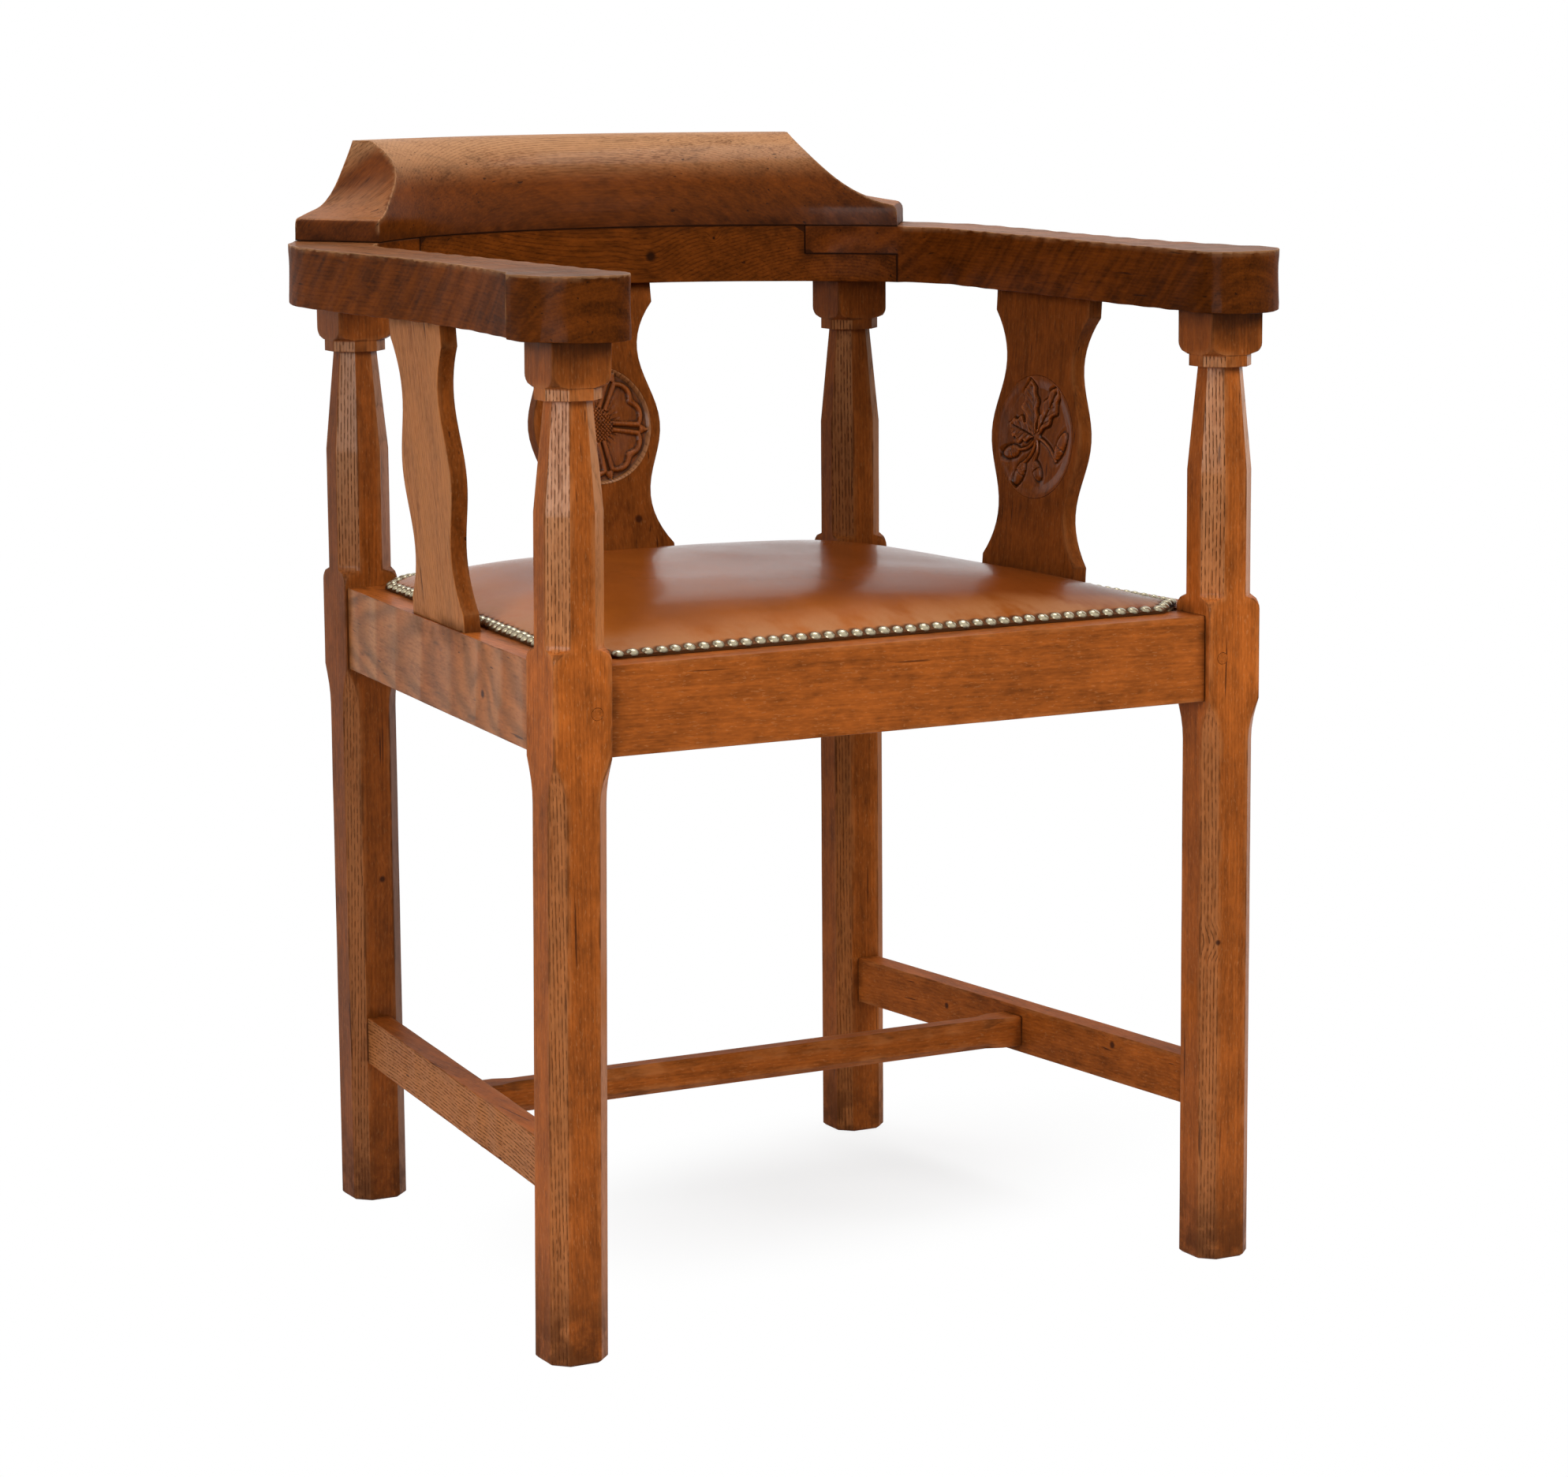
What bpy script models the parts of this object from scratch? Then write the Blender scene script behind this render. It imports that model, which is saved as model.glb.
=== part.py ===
"""Joined oak armchair with a horseshoe arm, three shaped splats and a nailed leather seat.

Metres, +Z up. The chair faces -Y and stands on z = 0, centred on the origin.
Each piece is its own object and is cut for its real joint: tenons, half laps, housings, pegs and dowels.
"""

import bpy
import bmesh
from math import asin, atan2, ceil, copysign, cos, degrees, hypot, pi, radians, sin, sqrt
from mathutils import Matrix, Vector

# Driving dimensions
fit = 0.0003                    # clearance in every joint and between touching faces
arris = 0.0006                  # broken corner of the sawn stock

post_square = 0.042
front_spread = 0.5060           # between the front posts' centres at the floor
back_spread = 0.4118
post_run = 0.4386               # front to back between post centres at the floor
front_rake_in = 0.0074          # lean of the posts, metres per metre of height
front_rake_out = 0.0060
back_rake_out = 0.0046

foot_bevel = 0.0018
leg_chamfer = 0.0093
leg_stop = 0.030                # scooped run-out under the seat block
block_stop = 0.012              # quarter-round run-out over the seat block
column_straight = 0.0870        # octagonal shaft before it tapers
column_taper = 0.0715
column_neck = 0.029             # across the flats under the collar
collar_height = 0.008
collar_square = 0.0406
capital_stop = 0.010
post_tenon = 0.026
post_tenon_height = 0.032

rail_height = 0.060
rail_thickness = 0.036
rail_top = 0.461
front_recess = 0.005            # rails set back from the post faces
side_recess = 0.004
back_recess = 0.003
rail_tenon_length = 0.022
rail_tenon_thickness = 0.010
rail_tenon_height = 0.042
rail_tenon_set = 0.012          # tenon centre from the post's outer face
rebate_width = 0.005
rebate_depth = 0.005

peg_diameter = 0.008
peg_length = 0.028
peg_set = 0.011                 # from the tenon's shoulder

stretcher_bottom = 0.105
stretcher_height = 0.035
stretcher_thickness = 0.018
stretcher_tenon_length = 0.020
stretcher_tenon_thickness = 0.008
stretcher_tenon_height = 0.024
cross_depth = 0.022
cross_height = 0.0225
cross_lift = 0.0055             # above the bottom of the side stretchers
cross_chamfer = 0.005
cross_square_end = 0.016
cross_stop = 0.012
cross_tenon_length = 0.010
cross_tenon_thickness = 0.010
cross_tenon_height = 0.013

arm_underside = 0.6695
arm_thickness = 0.0425
bow_width = 0.072
bow_centre = -0.019             # y of the bow's centre, from midway between the posts
post_in_bow = 0.0403            # back post's centre from the bow's inner edge
lap_start = 35.0                # degrees from the middle of the back
lap_end = 50.0
bow_inner_corner = 0.0761       # radii where the bow turns into the arms
bow_outer_corner = 0.1435
post_in_arm = 0.0180            # front post's centre from the arm's inner edge
arm_width = 0.051
arm_waist_set = 0.011           # hollow of the arm's outer edge
arm_waist_y = -0.060
arm_flare_set = 0.001           # outer edge at the step to the paddle
arm_flare_back = 0.0233         # behind the front post's centre
arm_edge = 0.0020
paddle_outer_lip = 0.006        # paddle beyond the arm on each side
paddle_inner_lip = 0.015
paddle_nose = 0.0457            # in front of the post's centre
paddle_shoulder = 0.014         # run of the small step on the outer side
paddle_outer_radius = 0.046
paddle_inner_radius = 0.026

crest_height = 0.0685
crest_toe = 0.0155
crest_toe_round = 0.006
crest_inset = 0.001             # behind the edge of the horseshoe
crest_top_angle = 33.6          # degrees, where the level top ends
crest_cut_centre = -0.160       # y that the shoulders' saw cuts point at
crest_sweep = 1.8               # hollow of the shoulders
crest_cove_set = 0.009          # how far the face falls back in the hollow, then in the roll
crest_cove_low = 0.0105
crest_cove_high = 0.0365
crest_roll_set = 0.045
crest_roll_low = 0.0285
crest_roll_power = 2.6

dowel_diameter = 0.008
lap_dowel_reach = 0.028         # along the lap, from the post's centre
crest_dowel_angle = 14.0
crest_dowel_set = 0.043         # from the bow's inner edge
dowel_in_crest = 0.009
dowel_cover = 0.006             # wood left under a dowel

splat_width = 0.111
splat_waist = 0.079
splat_bulge = 0.106
splat_thickness = 0.012
splat_inset = 0.003             # behind the rail's outer face
splat_housing = 0.008
splat_foot = 0.012
splat_head = 0.016
splat_waist_foot = 0.049        # heights of the two waists from the ends
splat_waist_head = 0.052
splat_in_arm = 0.0198           # splat's head from the inner edges of arm and bow
splat_in_bow = 0.0123
roundel_diameter = 0.090
roundel_depth = 0.0030

leather_inset = 0.0225          # leather edge behind the rails' outer faces
leather_thickness = 0.0020
leather_post_gap = 0.002
seat_crown = 0.024
crown_power = 2.5
webbing_width = 0.046
webbing_thickness = 0.0014
webbing_count = 3
webbing_spread = 0.118          # between the centres of neighbouring straps
webbing_end_gap = 0.001

# Values that follow from them
half_post = post_square / 2
rail_bottom = rail_top - rail_height
rail_middle = rail_top - rail_height / 2
octagon = post_square * (1 - sqrt(0.5))
arm_top = arm_underside + arm_thickness
lap_level = arm_underside + arm_thickness / 2
stretcher_middle = stretcher_bottom + stretcher_height / 2


def post_at(side, end, z):
    if end == "front":
        return Vector((side * (front_spread / 2 - front_rake_in * z), -post_run / 2 - front_rake_out * z))
    return Vector((side * back_spread / 2, post_run / 2 + back_rake_out * z))


bow = Vector((0, bow_centre))
front_bearing = post_at(1, "front", arm_underside)
back_bearing = post_at(1, "back", arm_underside)
bow_radius = (back_bearing - bow).length - post_in_bow
bow_outer = bow_radius + bow_width
arm_inner = front_bearing.x - post_in_arm
arm_outer = arm_inner + arm_width
arm_flare_y = front_bearing.y + arm_flare_back
paddle_outer = arm_outer + paddle_outer_lip
paddle_inner = arm_inner - paddle_inner_lip
paddle_front = front_bearing.y - paddle_nose
centre_y = (bow_centre + bow_outer + paddle_front) / 2

for old in list(bpy.data.objects):
    bpy.data.objects.remove(old, do_unlink=True)


def collection(name):
    group = bpy.data.collections.new(name)
    bpy.context.scene.collection.children.link(group)
    return group


parts = collection("monks_chair")
cutters = collection("joint_cutters")
chair = bpy.data.objects.new("chair_centre", None)
chair.location = (0, -centre_y, 0)
parts.objects.link(chair)


def finish(name, colour, roughness, metallic=0.0):
    material = bpy.data.materials.new(name)
    material.use_nodes = True
    shader = material.node_tree.nodes["Principled BSDF"]
    shader.inputs["Base Color"].default_value = (*colour, 1)
    shader.inputs["Roughness"].default_value = roughness
    shader.inputs["Metallic"].default_value = metallic
    return material


oak = finish("oiled_oak", (0.29, 0.118, 0.037), 0.45)
dark_oak = finish("hand_worn_oak", (0.135, 0.052, 0.018), 0.32)
hide = finish("tan_leather", (0.47, 0.155, 0.045), 0.42)
stuffing = finish("hair_stuffing", (0.21, 0.17, 0.12), 0.95)
jute = finish("jute_webbing", (0.36, 0.27, 0.15), 0.9)


# Mesh and object helpers

def add(name, mesh, material, location=(0, 0, 0), group=parts):
    piece = bpy.data.objects.new(name, mesh)
    piece.parent = chair
    piece.location = location
    group.objects.link(piece)
    if material:
        mesh.materials.append(material)
    return piece


def as_cutter(piece):
    piece.hide_render = True
    piece.display_type = "WIRE"
    return piece


def loft(name, rings):
    mesh = bpy.data.meshes.new(name)
    work = bmesh.new()
    rows = [[work.verts.new(point) for point in ring] for ring in rings]
    for low, high in zip(rows, rows[1:]):
        for i in range(len(low)):
            j = (i + 1) % len(low)
            work.faces.new((low[i], low[j], high[j], high[i]))
    work.faces.new(rows[0])
    work.faces.new(rows[-1])
    bmesh.ops.recalc_face_normals(work, faces=work.faces)
    work.to_mesh(mesh)
    work.free()
    return mesh


def plate(name, outline, thickness):
    curve = bpy.data.curves.new(name, "CURVE")
    curve.dimensions = "2D"
    curve.fill_mode = "BOTH"
    curve.extrude = thickness / 2
    spline = curve.splines.new("POLY")
    spline.points.add(len(outline) - 1)
    for point, (x, y) in zip(spline.points, outline):
        point.co = (x, y, 0, 1)
    spline.use_cyclic_u = True
    drawn = bpy.data.objects.new(name, curve)
    cutters.objects.link(drawn)
    depsgraph = bpy.context.evaluated_depsgraph_get()
    mesh = bpy.data.meshes.new_from_object(drawn.evaluated_get(depsgraph))
    bpy.data.objects.remove(drawn, do_unlink=True)
    work = bmesh.new()
    work.from_mesh(mesh)
    bmesh.ops.remove_doubles(work, verts=work.verts, dist=0.00001)
    bmesh.ops.recalc_face_normals(work, faces=work.faces)
    work.to_mesh(mesh)
    work.free()
    return mesh


def slab(name, outline, low, high, material, group=parts):
    return add(name, plate(name, outline, high - low), material, (0, 0, (low + high) / 2), group)


def rod(name, diameter, length, material, middle, axis, group=parts, sides=16):
    mesh = bpy.data.meshes.new(name)
    work = bmesh.new()
    turn = Vector((0, 0, 1)).rotation_difference(Vector(axis)).to_matrix().to_4x4()
    bmesh.ops.create_cone(work, cap_ends=True, segments=sides, radius1=diameter / 2, radius2=diameter / 2,
                          depth=length, matrix=turn)
    work.to_mesh(mesh)
    work.free()
    mesh.shade_smooth()
    mesh.set_sharp_from_angle(angle=radians(40))
    return add(name, mesh, material, middle, group)


def cut(piece, cutter, operation="DIFFERENCE"):
    step = piece.modifiers.new(cutter.name, "BOOLEAN")
    step.operation = operation
    step.object = cutter


def arc(centre, radius, start, end, count):
    angles = [radians(start + (end - start) * i / count) for i in range(count + 1)]
    return [(centre[0] + radius * sin(a), centre[1] + radius * cos(a)) for a in angles]


def flipped(outline, side):
    return [(side * x, y) for x, y in outline]


def smooth(low, high, value):
    t = min(max((value - low) / (high - low), 0), 1)
    return t * t * (3 - 2 * t)


# Posts: one stick each, lofted through octagons from foot to tenon

def octagon_ring(centre, z, half, chamfer):
    c = half - chamfer
    corners = ((half, -c), (half, c), (c, half), (-c, half), (-half, c), (-half, -c), (-c, -half), (c, -half))
    return [(centre.x + x, centre.y + y, z) for x, y in corners]


def quarter_round(steps=5):
    return [1 - sqrt(1 - (i / steps) ** 2) for i in range(steps + 1)]


def post_sections():
    leg_top = rail_bottom - leg_stop
    block_top = rail_top + block_stop
    taper_start = block_top + column_straight
    neck = taper_start + column_taper
    capital = neck + collar_height
    bearing = arm_underside - fit
    neck_half = column_neck / 2
    collar_half = collar_square / 2
    yield 0, half_post - foot_bevel, leg_chamfer
    yield foot_bevel, half_post, leg_chamfer
    for i in range(5):
        t = i / 4
        yield leg_top + leg_stop * t, half_post, max(leg_chamfer * (1 - t * t), arris)
    rounds = quarter_round()
    for i, r in enumerate(rounds):
        yield rail_top + block_stop * i / (len(rounds) - 1), half_post, max(octagon * r, arris)
    yield taper_start, half_post, octagon
    yield neck, neck_half, octagon * column_neck / post_square
    yield neck, collar_half, octagon * collar_square / post_square
    yield capital, collar_half, octagon * collar_square / post_square
    for i, r in enumerate(reversed(rounds)):
        yield capital + capital_stop * i / (len(rounds) - 1), half_post, max(octagon * r, arris)
    yield bearing, half_post, arris
    yield bearing, post_tenon / 2, arris
    yield bearing + post_tenon_height, post_tenon / 2, arris


def post_mesh(name, side, end):
    rings = [octagon_ring(post_at(side, end, z), z, half, chamfer) for z, half, chamfer in post_sections()]
    return loft(name, rings)


posts = {}
for end in ("front", "back"):
    for side, word in ((-1, "left"), (1, "right")):
        name = f"{end}_{word}_post"
        posts[side, end] = add(name, post_mesh(name, side, end), oak)


def tenon_hole(side, end):
    centre = post_at(side, end, arm_underside + post_tenon_height / 2)
    half = post_tenon / 2 + fit + (front_rake_in + front_rake_out) * post_tenon_height / 2
    outline = [(centre.x + x * half, centre.y + y * half) for x, y in ((-1, -1), (1, -1), (1, 1), (-1, 1))]
    return as_cutter(slab(f"{end}_tenon_hole_{side}", outline, arm_underside - half_post,
                          arm_underside + post_tenon_height + fit, None, cutters))


# Rails and stretchers: a plank between shoulders, with a core that runs on as its two tenons

def side_x(y, z, offset):
    front, back = post_at(1, "front", z), post_at(1, "back", z)
    return front.x + offset + (y - front.y) * (back.x - front.x) / (back.y - front.y)


def splay(z):
    front, back = post_at(1, "front", z), post_at(1, "back", z)
    return atan2(front.x - back.x, back.y - front.y)


class Run:
    """A line in plan along a plank's outer face, between its shoulders, with the way in from that face."""

    def __init__(self, start, end, inward):
        self.start, self.end, self.inward = Vector(start), Vector(end), Vector(inward)
        self.along = (self.end - self.start).normalized()

    def strip(self, near, far, reach=0.0):
        ends = (self.start - self.along * reach, self.end + self.along * reach)
        corners = (ends[0] + self.inward * near, ends[1] + self.inward * near,
                   ends[1] + self.inward * far, ends[0] + self.inward * far)
        return [tuple(corner) for corner in corners]


def cross_run(end, recess):
    corner = post_at(1, end, rail_middle)
    out = -1 if end == "front" else 1
    y = corner.y + out * (half_post - recess)
    x = corner.x - half_post - fit
    return Run((-x, y), (x, y), (0, -out))


def side_run(side, z, offset):
    front = post_at(side, "front", z).y + half_post + fit
    back = post_at(side, "back", z).y - half_post - fit
    return Run((side * side_x(front, z, offset), front), (side * side_x(back, z, offset), back),
               (-side / cos(splay(z)), 0))


def plank(name, run, thickness, low, high, core_near, core_far, core_low, core_high, reach):
    piece = slab(name, run.strip(0, thickness), low, high, oak)
    core = as_cutter(slab(f"{name}_core", run.strip(core_near, core_far, reach), core_low, core_high,
                          None, cutters))
    cut(piece, core, "UNION")
    hole = slab(f"{name}_mortise", run.strip(core_near - fit, core_far + fit, reach + fit),
                core_low - fit, core_high + fit, None, cutters)
    return piece, as_cutter(hole)


def seat_rail(name, run, recess, corners):
    near = rail_tenon_set - rail_tenon_thickness / 2 - recess
    low = rail_middle - rail_tenon_height / 2
    piece, hole = plank(name, run, rail_thickness, rail_bottom, rail_top, near, near + rail_tenon_thickness,
                        low, low + rail_tenon_height, rail_tenon_length)
    for corner in corners:
        cut(posts[corner], hole)
    return piece


runs = {
    "front": cross_run("front", front_recess),
    "back": cross_run("back", back_recess),
    "left": side_run(-1, rail_middle, half_post - side_recess),
    "right": side_run(1, rail_middle, half_post - side_recess),
}
recesses = {"front": front_recess, "back": back_recess, "left": side_recess, "right": side_recess}
rail_corners = {
    "front": ((-1, "front"), (1, "front")),
    "back": ((-1, "back"), (1, "back")),
    "left": ((-1, "front"), (-1, "back")),
    "right": ((1, "front"), (1, "back")),
}
rails = {}
for where, run in runs.items():
    rails[where] = seat_rail(f"{where}_seat_rail", run, recesses[where], rail_corners[where])


def inset_corners(inset):
    front_y = runs["front"].start.y + inset
    back_y = runs["back"].start.y - inset
    offset = half_post - side_recess - inset / cos(splay(rail_middle))
    return [(side_x(front_y, rail_middle, offset), front_y), (side_x(back_y, rail_middle, offset), back_y)]


def ring_of(inset):
    front, back = inset_corners(inset)
    return [(-front[0], front[1]), front, back, (-back[0], back[1])]


rebate_inset = rail_thickness - rebate_width
rebate = as_cutter(slab("webbing_rebate", ring_of(rebate_inset), rail_top - rebate_depth,
                        rail_top + rebate_depth, None, cutters))
for rail in rails.values():
    cut(rail, rebate)

for end in ("front", "back"):
    out = -1 if end == "front" else 1
    for side, word in ((-1, "left"), (1, "right")):
        corner = post_at(side, end, rail_middle)
        face = corner.y + out * half_post
        x = corner.x - side * (half_post - peg_set)
        middle = (x, face - out * peg_length / 2, rail_middle)
        rod(f"{end}_{word}_peg", peg_diameter, peg_length, oak, middle, (0, 1, 0))
        hole = as_cutter(rod(f"{end}_{word}_peg_hole", peg_diameter + 2 * fit, peg_length + 2 * fit, None,
                             middle, (0, 1, 0), cutters))
        cut(posts[side, end], hole)
        cut(rails[end], hole)

stretchers = {}
for side, word in ((-1, "left"), (1, "right")):
    run = side_run(side, stretcher_middle, stretcher_thickness / 2)
    near = (stretcher_thickness - stretcher_tenon_thickness) / 2
    low = stretcher_middle - stretcher_tenon_height / 2
    piece, hole = plank(f"{word}_stretcher", run, stretcher_thickness, stretcher_bottom,
                        stretcher_bottom + stretcher_height, near, near + stretcher_tenon_thickness,
                        low, low + stretcher_tenon_height, stretcher_tenon_length)
    stretchers[side] = piece
    cut(posts[side, "front"], hole)
    cut(posts[side, "back"], hole)


# Cross stretcher: chamfers that stop short of its square ends

def cross_mesh(name):
    middle = stretcher_bottom + cross_lift + cross_height / 2
    inner = -stretcher_thickness / 2 - fit
    sections = ((0, arris), (cross_square_end, arris), (cross_square_end + cross_stop, cross_chamfer))
    stations = [(-1, *section) for section in sections] + [(1, *section) for section in reversed(sections)]
    rings = []
    for side, back_off, chamfer in stations:
        y, z = cross_depth / 2, cross_height / 2
        corners = ((y, -z + chamfer), (y, z - chamfer), (y - chamfer, z), (-y + chamfer, z),
                   (-y, z - chamfer), (-y, -z + chamfer), (-y + chamfer, -z), (y - chamfer, -z))
        reach = inner - back_off
        rings.append([(side * side_x(u, stretcher_middle, reach), u, middle + v) for u, v in corners])
    return loft(name, rings), middle


cross_shape, cross_middle = cross_mesh("cross_stretcher")
cross = add("cross_stretcher", cross_shape, oak)
cross_reach = side_x(0, stretcher_middle, -stretcher_thickness / 2) + cross_tenon_length


def cross_core(name, grow):
    x, y = cross_reach + grow, cross_tenon_thickness / 2 + grow
    z = cross_tenon_height / 2 + grow
    outline = [(-x, -y), (x, -y), (x, y), (-x, y)]
    return as_cutter(slab(name, outline, cross_middle - z, cross_middle + z, None, cutters))


cut(cross, cross_core("cross_core", 0), "UNION")
cross_hole = cross_core("cross_mortise", fit)
for piece in stretchers.values():
    cut(piece, cross_hole)


# Horseshoe: back rail and two arms, half-lapped over the back posts

def corner_turn(radius, straight, corner):
    angle = asin((straight - corner) / (radius - corner))
    centre = bow + Vector((sin(angle), cos(angle))) * (radius - corner)
    return centre, degrees(angle)


def bow_edge(radius, straight, corner, start, steps, corner_steps=8):
    centre, angle = corner_turn(radius, straight, corner)
    return arc(bow, radius, start, angle, steps) + arc(centre, corner, angle, 90, corner_steps)[1:]


def outer_edge(start, steps):
    return bow_edge(bow_outer, arm_outer, bow_outer_corner, start, steps)


def inner_edge(start, steps):
    return bow_edge(bow_radius, arm_inner, bow_inner_corner, start, steps)


def arm_outline(clear):
    start = lap_start + degrees(clear / bow_radius)
    edge = outer_edge(start, 4)
    top = edge[-1][1]
    arm_waist = arm_outer - arm_waist_set
    arm_flare = arm_outer - arm_flare_set
    for i in range(1, 9):
        y = top + (arm_waist_y - top) * i / 8
        edge.append((arm_outer + (arm_waist - arm_outer) * smooth(top, arm_waist_y, y), y))
    for i in range(1, 6):
        t = i / 5
        y = arm_waist_y + (arm_flare_y - arm_waist_y) * t
        edge.append((arm_waist + (arm_flare - arm_waist) * t * t, y))
    edge.append((paddle_outer, arm_flare_y - paddle_shoulder))
    r = paddle_outer_radius
    edge += arc((paddle_outer - r, paddle_front + r), r, 90, 180, 8)
    r = paddle_inner_radius
    edge += arc((paddle_inner + r, paddle_front + r), r, 180, 270, 6)
    edge += list(reversed(inner_edge(start, 4)))
    return edge


def lap_cutter(name, side, angle, forward, low, high):
    a = radians(angle)
    out = Vector((sin(a), cos(a)))
    on = Vector((cos(a), -sin(a))) * (1 if forward else -1)
    inner = bow + out * (bow_radius - bow_width / 2)
    outer = bow + out * (bow_outer + bow_width / 2)
    outline = [inner, outer, outer + on * bow_radius / 2, inner + on * bow_radius / 2]
    return as_cutter(slab(name, flipped([tuple(point) for point in outline], side), low, high, None, cutters))


def softened(piece, width):
    step = piece.modifiers.new("worn_edges", "BEVEL")
    step.width = width
    step.segments = 2
    step.limit_method = "ANGLE"
    step.angle_limit = radians(50)


lap_fit = degrees(fit / bow_radius)
below, above = arm_underside - arm_thickness, arm_top + arm_thickness
arms = {}
for side, word in ((-1, "left"), (1, "right")):
    arms[side] = slab(f"{word}_arm", flipped(arm_outline(fit), side), arm_underside, arm_top, dark_oak)
    softened(arms[side], arm_edge)
    cut(arms[side], lap_cutter(f"{word}_under_lap", side, lap_end, False, below, lap_level + fit / 2))
    cut(arms[side], tenon_hole(side, "front"))

half_bow = outer_edge(0, 12) + list(reversed(inner_edge(0, 14)))
bow_outline = half_bow[1:-1] + list(reversed(flipped(half_bow, -1)))
back_arm_rail = slab("back_arm_rail", bow_outline, arm_underside, arm_top, dark_oak)
for side, word in ((-1, "left"), (1, "right")):
    cut(back_arm_rail, lap_cutter(f"{word}_bow_end", side, lap_end - lap_fit, True, below, above))
    cut(back_arm_rail, lap_cutter(f"{word}_over_lap", side, lap_start, True, lap_level - fit / 2, above))
    hole = tenon_hole(side, "back")
    cut(back_arm_rail, hole)
    cut(arms[side], hole)


# Crest: the moulded section swept round the bow, its height falling away in hollow shoulders

def crest_face(z):
    roll = max((z - crest_roll_low) / (crest_height - crest_roll_low), 0) ** crest_roll_power
    return crest_cove_set * smooth(crest_cove_low, crest_cove_high, z) + crest_roll_set * roll


def crest_rise(angle):
    u = max((abs(angle) - crest_top_angle) / (lap_end - crest_top_angle), 0)
    rise = crest_toe + (crest_height - crest_toe) * (1 - u) ** crest_sweep
    past = max(crest_toe_round - radians(lap_end - abs(angle)) * bow_outer, 0)
    return rise - crest_toe_round + sqrt(max(crest_toe_round ** 2 - past ** 2, 0))


def reach_to(start, way, centre, radius):
    gap = start - centre
    along = gap.dot(way)
    return sqrt(along * along - gap.length_squared + radius * radius) - along


def crest_depth(start, way):
    depth = reach_to(start, way, bow, bow_outer)
    rear = start + way * depth - bow
    centre, angle = corner_turn(bow_outer, arm_outer, bow_outer_corner)
    if degrees(atan2(abs(rear.x), rear.y)) > angle:
        centre.x = copysign(centre.x, rear.x)
        depth = reach_to(start, way, centre, bow_outer_corner)
    return depth - crest_inset


def crest_section(angle, up=12, down=5):
    a = radians(angle)
    rise = crest_rise(angle)
    start = bow + Vector((sin(a), cos(a))) * bow_radius
    way = (start - Vector((0, crest_cut_centre))).normalized()
    depth = crest_depth(start, way)
    front = [(crest_face(rise * i / up), rise * i / up) for i in range(up + 1)]
    back = [(depth, rise * (1 - i / down)) for i in range(down + 1)]
    return [(*(start + way * r), arm_top + fit + z) for r, z in front + back]


def crest_angles():
    level = [crest_top_angle * i / 10 for i in range(10)]
    shoulder = [crest_top_angle + (lap_end - crest_top_angle) * i / 14 for i in range(14)]
    toe_turn = degrees(crest_toe_round / bow_outer)
    toe = [lap_end - toe_turn * (1 - sin(pi / 2 * i / 4)) for i in range(5)]
    half = [angle for angle in level + shoulder if angle < toe[0]] + toe
    return [-angle for angle in reversed(half[1:])] + half


crest = add("crest_rail", loft("crest_rail", [crest_section(angle) for angle in crest_angles()]), dark_oak)


# Dowels: through each lap into the crest's toe, and two more between back rail and crest

def dowel(name, angle, radius, low, pieces):
    a = radians(angle)
    high = arm_top + dowel_in_crest
    middle = (radius * sin(a), bow_centre + radius * cos(a), (low + high) / 2)
    rod(name, dowel_diameter, high - low, oak, middle, (0, 0, 1), sides=12)
    hole = as_cutter(rod(f"{name}_hole", dowel_diameter + 2 * fit, high - low + 2 * fit, None, middle,
                         (0, 0, 1), cutters, sides=12))
    for piece in pieces:
        cut(piece, hole)


for side, word in ((-1, "left"), (1, "right")):
    post = back_bearing - bow
    post_angle = degrees(atan2(post.x, post.y))
    step = degrees(lap_dowel_reach / post.length)
    low = arm_underside + dowel_cover
    lapped = (back_arm_rail, arms[side], crest)
    dowel(f"{word}_lap_dowel_rear", side * (post_angle - step), post.length, low, lapped)
    dowel(f"{word}_lap_dowel_fore", side * (post_angle + step), post.length, low, lapped)
    dowel(f"{word}_crest_dowel", side * crest_dowel_angle, bow_radius + crest_dowel_set, low,
          (back_arm_rail, crest))


# Splats: shaped boards housed in the rails below and the horseshoe above

def splat_outline(length):
    half, waist, bulge = splat_width / 2, splat_waist / 2, splat_bulge / 2
    low, high = splat_waist_foot, length - splat_waist_head
    edge = [(half, -splat_housing), (half, splat_foot)]
    for i in range(1, 7):
        t = i / 6
        edge.append((waist + (half - waist) * (1 - t) ** 2, splat_foot + (low - splat_foot) * t))
    for i in range(1, 17):
        t = i / 16
        edge.append((waist + (bulge - waist) * (1 - cos(2 * pi * t)) / 2, low + (high - low) * t))
    top = length - splat_head
    for i in range(1, 7):
        t = i / 6
        edge.append((waist + (half - waist) * t ** 2, high + (top - high) * t))
    edge.append((half, length + splat_housing))
    return edge + [(-x, y) for x, y in reversed(edge)]


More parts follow.
